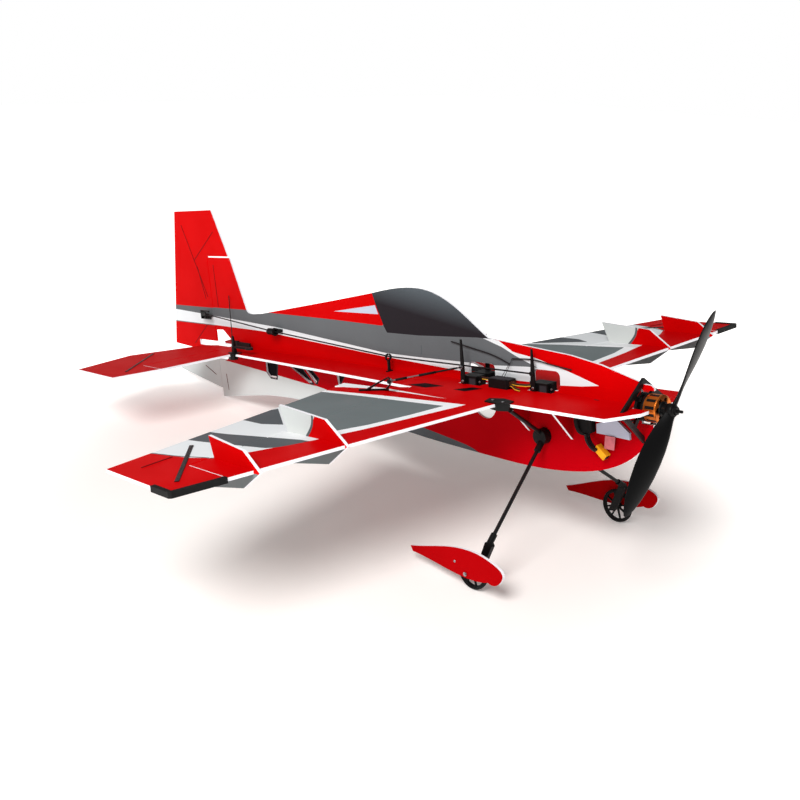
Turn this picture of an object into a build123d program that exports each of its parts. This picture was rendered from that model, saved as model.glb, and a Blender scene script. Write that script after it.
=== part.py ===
# Profile ("flat") foam aerobatic model aeroplane: 3 mm foam sheet airframe with
# carbon bracing, four micro servos, an outrunner motor and spoked wheels.
# Everything is laid out in the aeroplane's own axes (x forward, y to port, z up,
# datum on the wing plane at the centreline) and placed nose-up, standing on
# its two wheels and the heel of the fin.
# Handed pieces are drawn to starboard ("right") and mirrored to port ("left").
from build123d import *
from math import sin, cos, radians, sqrt
import os

os.makedirs("parts", exist_ok=True)

# ---------------------------------------------------------------- shared dimensions
FOAM = 3.2                 # foam sheet thickness
HALF = FOAM / 2
GAP = 0.3                  # half width of the cuts at the hinges and seams
SETBACK = 0.1              # moving surface's edge behind its hinge line
BEVEL = 2.7                # depth of the double bevel along a hinge
PITCH = 8.8                # nose-up angle of the standing aeroplane

# wing edges: x at the centreline, and change of x per mm of span
LEAD_ROOT, LEAD_SLOPE = 30.0, -0.065
TRAIL_ROOT, TRAIL_SLOPE = -225.4, 0.27
HINGE_ROOT, HINGE_SLOPE = -125.9, 0.18           # aileron hinge line
ROOT_FRONT, ROOT_REAR = (25.8, 64.0), (-115.25, 57.5)   # wing root corners (x, y)
TIP_Y = 428.5              # wing tip, before the edge guard
SEAM_Y = 376.6             # cut between fixed wing and the aileron's balance tip
INNER_FENCE_Y, OUTER_FENCE_Y = 255.0, 350.0      # side force plates
FENCE_LAP = -30.0          # end of the half-lap between plate and wing

STAB_LEAD = -519.0
STAB_HINGE = -570.0
STAB_SEAM = 155.0          # cut between stabilizer and the elevator's balance tip
RUDDER_HINGE = -622.5
POST_X = RUDDER_HINGE + GAP                      # rear edge of the keel

WHEEL_R, WHEEL_W = 20.0, 6.0
WHEEL_X, WHEEL_Y, WHEEL_Z = 29.0, 121.0, -162.0
AXLE = (WHEEL_X, WHEEL_Z)
AXLE_R = 1.0
PANT_Y = 130.0
HUB = (30.0, -47.0)        # undercarriage hub in the keel (x, z)
HUB_CORE_R = 4.0

MOTOR_X = 157.0            # front face of the motor mount
MOUNT_T = 3.0
MOUNT_BACK = MOTOR_X - MOUNT_T
SHAFT_R = 1.5
SCREW_R, SCREW_CIRCLE_R = 1.0, 9.0
PROP_X = 186.5

HORN_R = 16.0              # control horn and servo arm radius
PIN_R = 0.9
SERVO_L, SERVO_H, SERVO_D = 23.0, 12.0, 15.5
SERVO_Z = 5.5              # height of the servo shafts over the wing plane
CASE_Z = SERVO_Z - 0.5     # middle of the servo cases
CASE_DX = SERVO_L / 2 - 6  # middle of a case, forward of its shaft
LUG_L = SERVO_L + 9.5      # over the mounting lugs
WELL_L = LUG_L + 0.4
AILERON_SERVO_X, RUDDER_SERVO_X, ELEVATOR_SERVO_X = -70.0, 24.0, -150.0   # shafts
RUDDER_SERVO_Y = 8.2       # port face of the rudder servo, which sits through the keel

# ---------------------------------------------------------------- placing
SIN, COS = sin(radians(PITCH)), cos(radians(PITCH))
DATUM_Z = WHEEL_R - (WHEEL_X * SIN + WHEEL_Z * COS)    # wheels touch the ground
DATUM_X = 272.92                                       # centres the length on the origin
HEEL_Z = (-DATUM_Z - RUDDER_HINGE * SIN) / COS         # heel of the fin on the ground
AIRFRAME = Plane(origin=(DATUM_X, 0, DATUM_Z), x_dir=(COS, 0, SIN), z_dir=(-SIN, 0, COS))
STARBOARD = Vector(0, -1, 0)


def point(x, y, z):
    """Aeroplane coordinates to model coordinates."""
    return AIRFRAME.from_local_coords(Vector(x, y, z))


def direction(x, y, z):
    """Direction in aeroplane axes to model axes."""
    return point(x, y, z) - point(0, 0, 0)


def level(z):
    """Plane parallel to the wing: sketch x is forward, sketch y is to port."""
    return Plane(origin=point(0, 0, z), x_dir=AIRFRAME.x_dir, z_dir=AIRFRAME.z_dir)


def side(y):
    """Plane parallel to the keel: sketch x forward, sketch y up, faces starboard."""
    return Plane(origin=point(0, y, 0), x_dir=AIRFRAME.x_dir, z_dir=STARBOARD)


def cross(x):
    """Plane across the aeroplane: sketch x to port, sketch y up, faces forward."""
    return Plane(origin=point(x, 0, 0), x_dir=Vector(0, 1, 0), z_dir=AIRFRAME.x_dir)


def rod_plane(start, end):
    """Plane at start, facing end."""
    return Plane(origin=point(*start), z_dir=point(*end) - point(*start))


def span(start, end):
    return (point(*end) - point(*start)).length


def lead_x(y):
    return LEAD_ROOT + LEAD_SLOPE * y


def trail_x(y):
    return TRAIL_ROOT + TRAIL_SLOPE * y


def hinge_x(y):
    return HINGE_ROOT + HINGE_SLOPE * y


def hinge_plane(y, setback=0.0):
    """Plane square to the starboard aileron hinge, y out from the centreline, facing the tip."""
    return Plane(origin=point(hinge_x(y) - setback, -y, 0),
                 x_dir=direction(1, HINGE_SLOPE, 0), z_dir=direction(HINGE_SLOPE, -1, 0))


# ---------------------------------------------------------------- shapes
# Each of these builds a solid by itself, then adds it to the caller's open part.
def plate(plane, amount, *outlines, both=False, mode=Mode.ADD):
    """Straight-sided outlines, extruded together."""
    with BuildPart() as solid:
        with BuildSketch(plane):
            for outline in outlines:
                with BuildLine():
                    Polyline(*outline, close=True)
                make_face()
        extrude(amount=amount, both=both)
    add(solid.part, mode=mode)


def disc(plane, radius, amount, at=(0, 0), both=False, mode=Mode.ADD):
    with BuildPart() as solid:
        with BuildSketch(plane):
            with Locations(at):
                Circle(radius)
        extrude(amount=amount, both=both)
    add(solid.part, mode=mode)


def rod(start, end, radius):
    disc(rod_plane(start, end), radius, span(start, end))


def screw_circle(x, radius, length, mode=Mode.ADD):
    """Four pins or holes on the motor's screw circle, running forward from x."""
    with BuildPart() as solid:
        with BuildSketch(cross(x)):
            with PolarLocations(SCREW_CIRCLE_R, 4, start_angle=45):
                Circle(radius)
        extrude(amount=length)
    add(solid.part, mode=mode)


def cut_bevels(plane, length):
    """Cut both corners off a hinge edge; the plane's origin is on that edge."""
    ridge = 0.02           # the ridge stands clear, so the cutters overrun the edge
    for z in (BEVEL, -BEVEL):
        plate(plane, length, [(ridge, 0), (ridge, z), (-BEVEL, z)], mode=Mode.SUBTRACT)


def mirrored(part):
    with BuildPart() as twin:
        mirror(part, about=Plane.XZ)
    return twin.part


# ---------------------------------------------------------------- motor mount
MOUNT_TOP, MOUNT_SIDE, MOUNT_BOTTOM = 28.5, 38.5, 38.5   # corners of the diamond frame
FRAME_INSET = 1.9 * 3.6                                  # corner to corner, across a 3.6 bar
MOUNT_PLATE_R = 14.2
# arms between plate and frame: (y, z), drawn to port
MOUNT_ARMS = [
    [(8, 10), (17.5, 16), (20, 13), (11, 7)],
    [(8, -10), (17.5, -21), (20.5, -17.5), (11, -7)],
]


def diamond(inset):
    top, half_width, bottom = (size - inset for size in (MOUNT_TOP, MOUNT_SIDE, MOUNT_BOTTOM))
    return [(0, top), (-half_width, 0), (0, -bottom), (half_width, 0)]


def motor_mount():
    with BuildPart() as mount:
        with BuildSketch(cross(MOUNT_BACK)):
            with BuildLine():
                Polyline(*diamond(0), close=True)
            make_face()
            with BuildLine():
                Polyline(*diamond(FRAME_INSET), close=True)
            make_face(mode=Mode.SUBTRACT)
        extrude(amount=MOUNT_T)
        with BuildSketch(cross(MOUNT_BACK)):
            for hand in (1, -1):
                for arm in MOUNT_ARMS:
                    with BuildLine():
                        Polyline(*[(hand * y, z) for y, z in arm], close=True)
                    make_face()
            Circle(MOUNT_PLATE_R)
        extrude(amount=MOUNT_T)
        disc(cross(MOUNT_BACK), 4.2, MOUNT_T, mode=Mode.SUBTRACT)
        screw_circle(MOUNT_BACK, SCREW_R, MOUNT_T, mode=Mode.SUBTRACT)
    return mount.part


# ---------------------------------------------------------------- wing spar and deck
SPAR_X, SPAR_W, SPAR_T, SPAR_Y = -20.0, 6.0, 0.8, 245.0
# port edge of the deck, nose to tail: (x, y)
DECK_EDGE = [(173, 30), (156, 63), (30, 64), ROOT_FRONT, ROOT_REAR,
             (-268, 50), (-445, 42), (-519, 39.5)]
SIDE_WELL_Y = HALF + SERVO_D / 2 + 0.1
# servo wells: (shaft x, middle y, width)
SERVO_WELLS = [
    (AILERON_SERVO_X, SIDE_WELL_Y, SERVO_D + 0.2),
    (AILERON_SERVO_X, -SIDE_WELL_Y, SERVO_D + 0.2),
    (ELEVATOR_SERVO_X, SIDE_WELL_Y, SERVO_D + 0.2),
    (RUDDER_SERVO_X, RUDDER_SERVO_Y - SERVO_D / 2, SERVO_D + 0.4),
]


def wing_spar():
    """Flat strip let into the underside of the wing."""
    with BuildPart() as spar:
        with BuildSketch(level(-HALF)):
            with Locations((SPAR_X, 0)):
                Rectangle(SPAR_W, 2 * SPAR_Y)
        extrude(amount=SPAR_T)
    return spar.part


def fuselage_deck(mount, spar):
    with BuildPart() as deck:
        with BuildSketch(level(0)):
            with BuildLine():
                Polyline(*[(x, -y) for x, y in DECK_EDGE], *reversed(DECK_EDGE), close=True)
            make_face()
            with Locations((169, 0)):        # notch round the motor
                Rectangle(30, 34, mode=Mode.SUBTRACT)
        extrude(amount=HALF, both=True)
        with BuildSketch(level(0)):
            for shaft_x, y, width in SERVO_WELLS:
                with Locations((shaft_x + CASE_DX, y)):
                    Rectangle(WELL_L, width)
        extrude(amount=HALF, both=True, mode=Mode.SUBTRACT)
        add(mount, mode=Mode.SUBTRACT)
        add(spar, mode=Mode.SUBTRACT)
    return deck.part


# ---------------------------------------------------------------- keel
# All outlines are (x, z).
FIN_EDGE = [(POST_X, 24), (POST_X, 134), (-560.5, 134), (-530, 59)]
FIN_ROOT_CURVE = [(-530, 59), (-524, 54.5), (-514, 53.5)]
SPINE_REAR = [(-514, 53.5), (-494, 55), (-320, 82), (-240, 95)]
HUMP_CURVE = [(-240, 95), (-172, 104), (-136, 101), (-105, 90), (-72, 70), (-46, 52.6)]
NOSE_AND_BASE = [
    (-46, 52.6), (69, 43), (107, 36.5), (150, 25), (157, 22.5), (165.5, 22), (168.8, 19.8),
    (168.8, 17), (MOUNT_BACK, 17), (MOUNT_BACK, HALF), (-569, HALF),
    (-569, 3), (-601, 25), (POST_X, 24),
]
LOWER_NOSE = [(-569, -HALF), (MOUNT_BACK, -HALF), (MOUNT_BACK, -17), (167, -17),
              (167, -29), (157, -39.5)]
BELLY_CURVE = [(157, -39.5), (140, -55.5), (107, -72), (67, -81), (21, -85), (-59, -83.5),
               (-157, -78.5), (-290, -67), (-415, -62), (-500, -65.5)]
LOWER_TAIL = [(-500, -65.5), (POST_X, HEEL_Z), (POST_X, -22), (-601, -22),
              (-569, -3), (-569, -HALF)]
LIGHTENING_HOLES = [
    [(-494, -11), (-494, -30), (-486, -37), (-471, -37), (-465, -11)],
    [(-432, -10), (-413, -10), (-384, -34.5), (-392, -35), (-432, -17)],
    [(-406, -10), (-393, -10), (-370, -26), (-375, -34), (-378, -34)],
    [(-329, -10), (-305, -10), (-325, -33)],
]
ROUND_HOLE_CURVE = [(-38, -12), (-40, -28), (-50, -39), (-66, -37), (-76, -26), (-60, -13),
                    (-38, -12)]


def keel_upper(mount):
    with BuildPart() as keel:
        with BuildSketch(side(0)):
            with BuildLine():
                Polyline(*FIN_EDGE)
                Spline(*FIN_ROOT_CURVE, tangents=[(0.38, -0.92), (0.98, 0.1)])
                Polyline(*SPINE_REAR)
                Spline(*HUMP_CURVE)
                Polyline(*NOSE_AND_BASE)
            make_face()
        extrude(amount=HALF, both=True)
        # two rounded windows, and the opening for the rudder servo
        with BuildSketch(side(0)):
            with Locations((-58, 14)):
                RectangleRounded(40, 20, 5)
            with Locations((36, 14)):
                RectangleRounded(36, 21, 6)
            with Locations((RUDDER_SERVO_X + CASE_DX, CASE_Z)):
                Rectangle(WELL_L, SERVO_H + 0.2)
        extrude(amount=HALF, both=True, mode=Mode.SUBTRACT)
        add(mount, mode=Mode.SUBTRACT)
    return keel.part


def keel_lower(mount):
    with BuildPart() as keel:
        with BuildSketch(side(0)):
            with BuildLine():
                Polyline(*LOWER_NOSE)
                Spline(*BELLY_CURVE)
                Polyline(*LOWER_TAIL)
            make_face()
        extrude(amount=HALF, both=True)
        plate(side(0), HALF, *LIGHTENING_HOLES, both=True, mode=Mode.SUBTRACT)
        with BuildSketch(side(0)):
            with BuildLine():
                Spline(*ROUND_HOLE_CURVE)
            make_face()
        extrude(amount=HALF, both=True, mode=Mode.SUBTRACT)
        disc(side(0), HUB_CORE_R, HALF, at=HUB, both=True, mode=Mode.SUBTRACT)
        add(mount, mode=Mode.SUBTRACT)
    return keel.part


# ---------------------------------------------------------------- wing panel and fences
# side force plates: (x, z)
INNER_FENCE = [(16.5, 0.5), (-14, 22), (-87, 27), (-75, 0), (-98, -34), (-14, -21)]
OUTER_FENCE = [(16.5, 0.5), (-6.5, 17), (-62, 22.5), (-56, 0), (-72, -28), (-12, -18)]
WING_SLOT_L, FENCE_SLOT_L = 80, 100      # both run out past the foam's edge


def wing_panel(spar):
    with BuildPart() as panel:
        with BuildSketch(level(0)):
            with BuildLine():
                Polyline((ROOT_FRONT[0], -ROOT_FRONT[1]),
                         (lead_x(SEAM_Y), -(SEAM_Y - GAP)),
                         (hinge_x(SEAM_Y) + GAP, -(SEAM_Y - GAP)),
                         (ROOT_REAR[0], -ROOT_REAR[1]), close=True)
            make_face()
            for y in (INNER_FENCE_Y, OUTER_FENCE_Y):
                with Locations((FENCE_LAP + WING_SLOT_L / 2, -y)):
                    Rectangle(WING_SLOT_L, FOAM, mode=Mode.SUBTRACT)
        extrude(amount=HALF, both=True)
        add(spar, mode=Mode.SUBTRACT)
    return panel.part


def fence(y, outline):
    with BuildPart() as force_plate:
        with BuildSketch(side(-y)):
            with BuildLine():
                Polyline(*outline, close=True)
            make_face()
            with Locations((FENCE_LAP - FENCE_SLOT_L / 2, 0)):
                Rectangle(FENCE_SLOT_L, FOAM, mode=Mode.SUBTRACT)
        extrude(amount=HALF, both=True)
    return force_plate.part


# ---------------------------------------------------------------- aileron
AILERON_IN = 60.5          # inboard end of the hinge
BEVEL_START = AILERON_IN - 12
AILERON_HORN_Y = 97.0
BUMPER_Y = 377.2           # inboard end of the edge guard


def aileron():
    seam = SEAM_Y + GAP
    with BuildPart() as surface:
        plate(level(0), HALF,
              [(hinge_x(AILERON_IN) - SETBACK, -AILERON_IN), (-183, -97), (trail_x(105), -105),
               (trail_x(TIP_Y) - 4.5, -TIP_Y), (lead_x(TIP_Y), -TIP_Y),
               (lead_x(SEAM_Y), -seam), (hinge_x(seam) - SETBACK, -seam)],
              both=True)
        cut_bevels(hinge_plane(BEVEL_START, SETBACK),
                   (seam - BEVEL_START) * sqrt(1 + HINGE_SLOPE ** 2))
    return surface.part


def tip_bumper(aileron_part):
    """Edge guard round the balance tip."""
    with BuildPart() as bumper:
        plate(level(0), 2.8,
              [(lead_x(BUMPER_Y) + 1.5, -BUMPER_Y), (lead_x(TIP_Y) + 1.0, -TIP_Y + 0.5),
               (lead_x(TIP_Y) - 1.5, -TIP_Y - 1.5), (-29, -TIP_Y - 1.5), (-29, -TIP_Y + 3.0),
               (lead_x(TIP_Y) - 3.5, -TIP_Y + 3.0), (lead_x(BUMPER_Y) - 3.0, -BUMPER_Y)],
              both=True)
        add(aileron_part, mode=Mode.SUBTRACT)
    return bumper.part


def aileron_horn():
    """Post and brace on top of the aileron, with a pin above the hinge line."""
    post = [(-6.0, HALF), (-2.2, HORN_R), (0, HORN_R + 2.2), (2.0, HORN_R - 0.5), (-2.9, HALF)]
    brace = [(-3.2, HALF), (-24, HALF), (-2.0, HORN_R + 0.8), (2.0, HORN_R - 0.5), (-1, 11),
             (-14, HALF + 3), (-3.2, HALF + 3)]
    plane = hinge_plane(AILERON_HORN_Y)
    with BuildPart() as horn:
        plate(plane, 1.6, post, brace)
        disc(plane, PIN_R, -7.0, at=(0, HORN_R))
    return horn.part


# ---------------------------------------------------------------- stabilizer and elevator
JOINER_X, JOINER_R, JOINER_Y = -582.0, 1.0, 42.0
ELEVATOR_HORN_Y = 15.0


def stabilizer():
    rear, seam = STAB_HINGE + GAP, STAB_SEAM - GAP
    with BuildPart() as stab:
        plate(level(0), HALF,
              [(STAB_LEAD, -seam), (rear, -seam), (rear, seam), (STAB_LEAD, seam)], both=True)
    return stab.part


def elevator_joiner():
    with BuildPart() as joiner:
        disc(side(JOINER_Y), JOINER_R, 2 * JOINER_Y, at=(JOINER_X, 0))
    return joiner.part


def elevator(joiner):
    front, seam = STAB_HINGE - SETBACK, STAB_SEAM + GAP
    with BuildPart() as surface:
        plate(level(0), HALF,
              [(front, -8), (-612, -8), (-634, -18), (-671, -124), (-640, -220), (-528, -222),
               (STAB_LEAD, -seam), (front, -seam)],
              both=True)
        cut_bevels(Plane(origin=point(front, 0, 0), x_dir=AIRFRAME.x_dir, z_dir=STARBOARD), seam)
        add(joiner, mode=Mode.SUBTRACT)
    return surface.part


def elevator_horn():
    hinge = STAB_HINGE
    post = [(hinge - 3.2, HALF), (hinge - 2.2, HORN_R), (hinge, HORN_R + 2.2),
            (hinge + 2, HORN_R - 0.5), (hinge - 1, 10), (hinge - 2.6, HALF)]
    brace = [(hinge - 3.0, HALF), (hinge - 22, HALF), (hinge - 2, HORN_R)]
    with BuildPart() as horn:
        plate(side(ELEVATOR_HORN_Y), 1.6, post, brace)
        disc(side(ELEVATOR_HORN_Y), PIN_R, -4.5, at=(hinge, HORN_R))
    return horn.part


# ---------------------------------------------------------------- rudder
RUDDER_FRONT = RUDDER_HINGE - SETBACK
# (x, z)
RUDDER_OUTLINE = [
    (RUDDER_FRONT, 136), (-564, 136), (-597, 204), (-705, 204), (-752, -6), (-702, -9),
    (-702, -34), (-748, -38), (-745, -48), (RUDDER_FRONT, -68), (RUDDER_FRONT, -3),
    (-674, -3), (-674, 5.5), (RUDDER_FRONT, 6),
]
BEVEL_BOTTOM, BEVEL_TOP = -75, 136
RUDDER_HORN_Z = 47.5
RUDDER_HORN_BASE = RUDDER_HORN_Z - 4


def rudder():
    with BuildPart() as surface:
        plate(side(0), HALF, RUDDER_OUTLINE, both=True)
        cut_bevels(Plane(origin=point(RUDDER_FRONT, 0, BEVEL_BOTTOM),
                         x_dir=AIRFRAME.x_dir, z_dir=AIRFRAME.z_dir),
                   BEVEL_TOP - BEVEL_BOTTOM)
    return surface.part


def rudder_horn():
    """Level horn on the starboard face, with an upright pin."""
    with BuildPart() as horn:
        plate(level(RUDDER_HORN_BASE), 1.6,
              [(-652, -HALF), (-626.5, -HALF), (-620, -13), (RUDDER_HINGE + 1.5, -HORN_R - 2.2),
               (RUDDER_HINGE - 3, -HORN_R - 2), (-640, -9), (-652, -4.5)])
        disc(level(RUDDER_HORN_BASE), PIN_R, 9.5, at=(RUDDER_HINGE, -HORN_R))
    return horn.part


# ---------------------------------------------------------------- servos and arms
# Each case lies in the deck beside or through the keel, its shaft across the aeroplane.
# "out" is the way a shaft points: 1 to port, -1 to starboard.
LUG_OUT = 10.5             # base of a case to its mounting lugs
LUG_T = 1.5
BOSS_R, BOSS_H, RUDDER_BOSS_H = 3.7, 2.0, 1.6
STUB_R, STUB_H, RUDDER_STUB_H = 2.0, 1.9, 1.7
ARM_LONG, ARM_SHORT = 47.0, 24.0
ARM_T, RUDDER_ARM_T = 1.8, 1.6
ARM_PIN_L, RUDDER_ARM_PIN_L = 3.4, 3.2
ARM_Y = HALF + SERVO_D + BOSS_H                          # inner face of an arm beside the keel
RUDDER_ARM_Y = RUDDER_SERVO_Y - SERVO_D - RUDDER_BOSS_H  # the same for the rudder, signed


def servo(shaft_x, base_y, lug_y, out=-1, boss_h=BOSS_H, stub_h=STUB_H):
    """Servo from its base face at base_y; lug_y is the inner face of the lugs."""
    top_y = base_y + out * SERVO_D
    middle = (shaft_x + CASE_DX, CASE_Z)
    shaft = (shaft_x, SERVO_Z)
    with BuildPart() as body:
        with BuildSketch(side(base_y)):
            with Locations(middle):
                RectangleRounded(SERVO_L, SERVO_H, 0.8)
        extrude(amount=-out * SERVO_D)
        with BuildSketch(side(lug_y)):
            with Locations(middle):
                Rectangle(LUG_L, SERVO_H - 0.6)
        extrude(amount=-out * LUG_T)
        disc(side(top_y), BOSS_R, -out * boss_h, at=shaft)
        disc(side(top_y + out * boss_h), STUB_R, -out * stub_h, at=shaft)
    return body.part


def servo_arm(shaft_x, inner_y, length, out=-1, thickness=ARM_T, pin_l=ARM_PIN_L):
    """Upright tapered arm, with a pin at the horn radius."""
    waist_z, tip_z = SERVO_Z + HORN_R, SERVO_Z + length
    with BuildPart() as arm:
        with BuildSketch(side(inner_y)):
            with BuildLine():
                Polyline((shaft_x - 3.2, SERVO_Z), (shaft_x - 2.5, waist_z),
                         (shaft_x - 0.9, tip_z), (shaft_x + 0.9, tip_z),
                         (shaft_x + 2.5, waist_z), (shaft_x + 3.2, SERVO_Z), close=True)
            make_face()
            with Locations((shaft_x, SERVO_Z)):
                Circle(3.4)
                Circle(STUB_R + 0.05, mode=Mode.SUBTRACT)
        extrude(amount=-out * thickness)
        disc(side(inner_y + out * thickness), PIN_R, -out * pin_l, at=(shaft_x, waist_z))
    return arm.part


# ---------------------------------------------------------------- pushrods
# Each rod: eye on the servo arm's pin, carbon rod, eye round the horn's pin.
# Ends and bends are (x, y, z).
ROD_R = 0.9
EYE_R, EYE_T = 2.4, 1.8
ARM_BORE_R = PIN_R + 0.05
BORE_L = 6.0               # length of the cutters for the bores
EYE_Y = ARM_Y + ARM_T + 0.6 + EYE_T / 2      # middle of an eye on an arm beside the keel

AILERON_ROD = ((AILERON_SERVO_X, -EYE_Y, SERVO_Z + HORN_R),
               (hinge_x(AILERON_HORN_Y) - 0.6, -(AILERON_HORN_Y - 3.4), HORN_R))
ELEVATOR_ROD = ((ELEVATOR_SERVO_X, EYE_Y, SERVO_Z + HORN_R),
                (STAB_HINGE, ELEVATOR_HORN_Y + 1.2 + EYE_T / 2, HORN_R))
RUDDER_ROD = (
    (RUDDER_SERVO_X, RUDDER_ARM_Y - RUDDER_ARM_T - 0.5 - EYE_T / 2, SERVO_Z + HORN_R),
    (-205.0, -13.0, 20.5),     # bend at the front guide
    (-450.0, -14.2, 35.0),     # bend at the rear guide
    (RUDDER_HINGE, -HORN_R + 1.0, RUDDER_HORN_Z + 2.0),
)


def upright_eye(centre, radius):
    x, y, z = centre
    disc(side(y + EYE_T / 2), radius, EYE_T, at=(x, z))


def upright_bore(centre, radius):
    x, y, z = centre
    disc(side(y + BORE_L / 2), radius, BORE_L, at=(x, z), mode=Mode.SUBTRACT)


def straight_pushrod(arm_end, horn_end, horn_eye_r, horn_bore_r):
    with BuildPart() as pushrod:
        rod(arm_end, horn_end, ROD_R)
        upright_eye(arm_end, EYE_R)
        upright_eye(horn_end, horn_eye_r)
        upright_bore(arm_end, ARM_BORE_R)
        upright_bore(horn_end, horn_bore_r)
    return pushrod.part


def rudder_pushrod():
    """Rod bent at its two guides; the eye at the horn lies level."""
    arm_end, front_bend, rear_bend, horn_end = RUDDER_ROD
    x, y, z = horn_end
    with BuildPart() as pushrod:
        for start, end in zip(RUDDER_ROD, RUDDER_ROD[1:]):
            rod(start, end, ROD_R)
        with Locations(point(*front_bend), point(*rear_bend)):
            Sphere(ROD_R)
        upright_eye(arm_end, EYE_R)
        disc(level(z - EYE_T / 2), EYE_R + 1.2, EYE_T, at=(x, y))
        upright_bore(arm_end, ARM_BORE_R)
        disc(level(z - BORE_L / 2), PIN_R + 1.4, BORE_L, at=(x, y), mode=Mode.SUBTRACT)
    return pushrod.part


def on_rod(start, end, x):
    """Point of a rod's centreline at station x."""
    t = (x - start[0]) / (end[0] - start[0])
    return (x, start[1] + t * (end[1] - start[1]), start[2] + t * (end[2] - start[2]))


GUIDE_T = 3.0
GUIDE_R, GUIDE_BORE_R = 4.4, 3.2
FOOT_W, FOOT_T, STEM_W = 9.0, 1.2, 2.6
COLLAR_L, COLLAR_R, COLLAR_BORE_R = 16.0, 4.6, 3.5
FLANGE_R, FLANGE_T = 5.6, 3.0


def pushrod_guides():
    """Three rings on stems from the deck, and a flanged collar on the keel for the rudder's rod."""
    _, front_bend, rear_bend, _ = RUDDER_ROD
    with BuildPart() as guides:
        for x, y, z in (front_bend, on_rod(*ELEVATOR_ROD, -300.0), on_rod(*ELEVATOR_ROD, -480.0)):
            ring_z = z - 1.1
            stem_top = ring_z - 3.6
            back = cross(x - GUIDE_T / 2)
            with BuildSketch(back):
                with Locations((y, (HALF + stem_top) / 2)):
                    Rectangle(STEM_W, stem_top - HALF)
                with Locations((y, HALF + FOOT_T / 2)):
                    Rectangle(FOOT_W, FOOT_T)
                with Locations((y, ring_z)):
                    Circle(GUIDE_R)
            extrude(amount=GUIDE_T)
            disc(back, GUIDE_BORE_R, GUIDE_T, at=(y, ring_z), mode=Mode.SUBTRACT)
        x, y, z = rear_bend
        collar = (y, z - 0.6)
        back = cross(x - COLLAR_L / 2)
        with BuildSketch(back):
            with Locations(collar):
                Circle(COLLAR_R)
            with Locations((-HALF - 4.5, collar[1])):
                Rectangle(9.0, 4.0)
        extrude(amount=COLLAR_L)
        disc(cross(x + COLLAR_L / 2 - FLANGE_T), FLANGE_R, FLANGE_T, at=collar)
        disc(back, COLLAR_BORE_R, COLLAR_L, at=collar, mode=Mode.SUBTRACT)
    return guides.part


# ---------------------------------------------------------------- radio and power
ANTENNA_R = 0.6
ANTENNA_Y = -HALF - 1.0
# antenna ends: (x, z) to (x, z)
ANTENNAS = [((-14, 29), (-104, 45)), ((-10, 34), (72, 28.5))]
LEAD_R, LEAD_PITCH = 1.7, 4.2
# centreline of the port wire of the lead: (x, y, z)
LEAD_PATH = [(92, -6.5, -34.1), (94, -7.5, -41), (101, -10, -46.5), (107, -11, -48.5)]
CONNECTOR_L = 14


def receiver():
    with BuildPart() as box:
        with BuildSketch(level(HALF)):
            with Locations((-21, -10.5)):
                RectangleRounded(28, 14, 1.5)
        extrude(amount=10)
    return box.part


def receiver_antennas():
    with BuildPart() as wires:
        for (x1, z1), (x2, z2) in ANTENNAS:
            rod((x1, ANTENNA_Y, z1), (x2, ANTENNA_Y, z2), ANTENNA_R)
    return wires.part


def speed_controller():
    with BuildPart() as box:
        with BuildSketch(side(-HALF)):
            with Locations((88, -19)):
                RectangleRounded(20, 30, 2.5)
        extrude(amount=8)
        fillet(box.faces().sort_by(Axis.Y)[0].edges(), radius=1.6)   # outer face
    return box.part


def power_lead():
    """Two wires side by side, leaving the speed controller downward and turning forward."""
    down = direction(0, 0, -1)
    with BuildPart() as lead:
        for shift in (0, -LEAD_PITCH):
            path = [point(x, y + shift, z) for x, y, z in LEAD_PATH]
            with BuildLine():
                Spline(*path, tangents=[down, direction(1, 0, -0.35)])
            with BuildSketch(Plane(origin=path[0], z_dir=down)):
                Circle(LEAD_R)
            sweep()
    return lead.part


def power_connector():
    back = Plane(origin=point(107.1, -13.1, -48.6), x_dir=Vector(0, 1, 0),
                 z_dir=direction(1, 0, -0.45))
    with BuildPart() as connector:
        with BuildSketch(back):
            RectangleRounded(12.5, 7.0, 1.2)
        extrude(amount=CONNECTOR_L)
        with BuildSketch(back.offset(CONNECTOR_L)):
            with GridLocations(6.0, 0, 2, 1):
                Circle(1.7)
        extrude(amount=-8, mode=Mode.SUBTRACT)
    return connector.part


# ---------------------------------------------------------------- foam stiffeners
STIFFENER_T = 3.0
GUSSET_W = 40
GUSSETS = [(6.0, 45.0), (65.0, 46.0)]        # (x of the rear face, depth below the datum)
# cheeks on the keel behind the motor mount: (x, z)
STARBOARD_CHEEK = [(101, -24), (125, -16), (141, -28), (141, -35), (101, -33.5)]
PORT_CHEEK = [(101, -4), (125, -4), (141, -8), (141, -19), (101, -19)]


def foam_stiffeners():
    """Triangular gussets under the deck, and a cheek on each side of the keel."""
    with BuildPart() as stiffeners:
        for x, depth in GUSSETS:
            for hand in (1, -1):
                plate(cross(x), STIFFENER_T,
                      [(hand * HALF, -HALF), (hand * GUSSET_W, -HALF), (hand * HALF, -depth)])
        plate(side(-HALF), STIFFENER_T, STARBOARD_CHEEK)
        plate(side(HALF), -STIFFENER_T, PORT_CHEEK)
    return stiffeners.part


# ---------------------------------------------------------------- undercarriage
# Starboard rods: ends (x, y, z).
STRUT = ((31.0, -7.0, -51.0), (45.5, -110.5, -131.0))
BRACE = ((30.5, -8.5, -43.0), (38.5, -63.0, -5.5))
STRUT_R, GEAR_BRACE_R = 2.0, 2.1
HUB_FLANGE_R, HUB_Y = 8.8, 11.5
SOCKET_R, SOCKET_L = 3.6, 12
AXLE_BRACKET_Y, AXLE_BRACKET_T = 108.5, 5.0
AXLE_IN, AXLE_L = 109.0, 25.0
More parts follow.
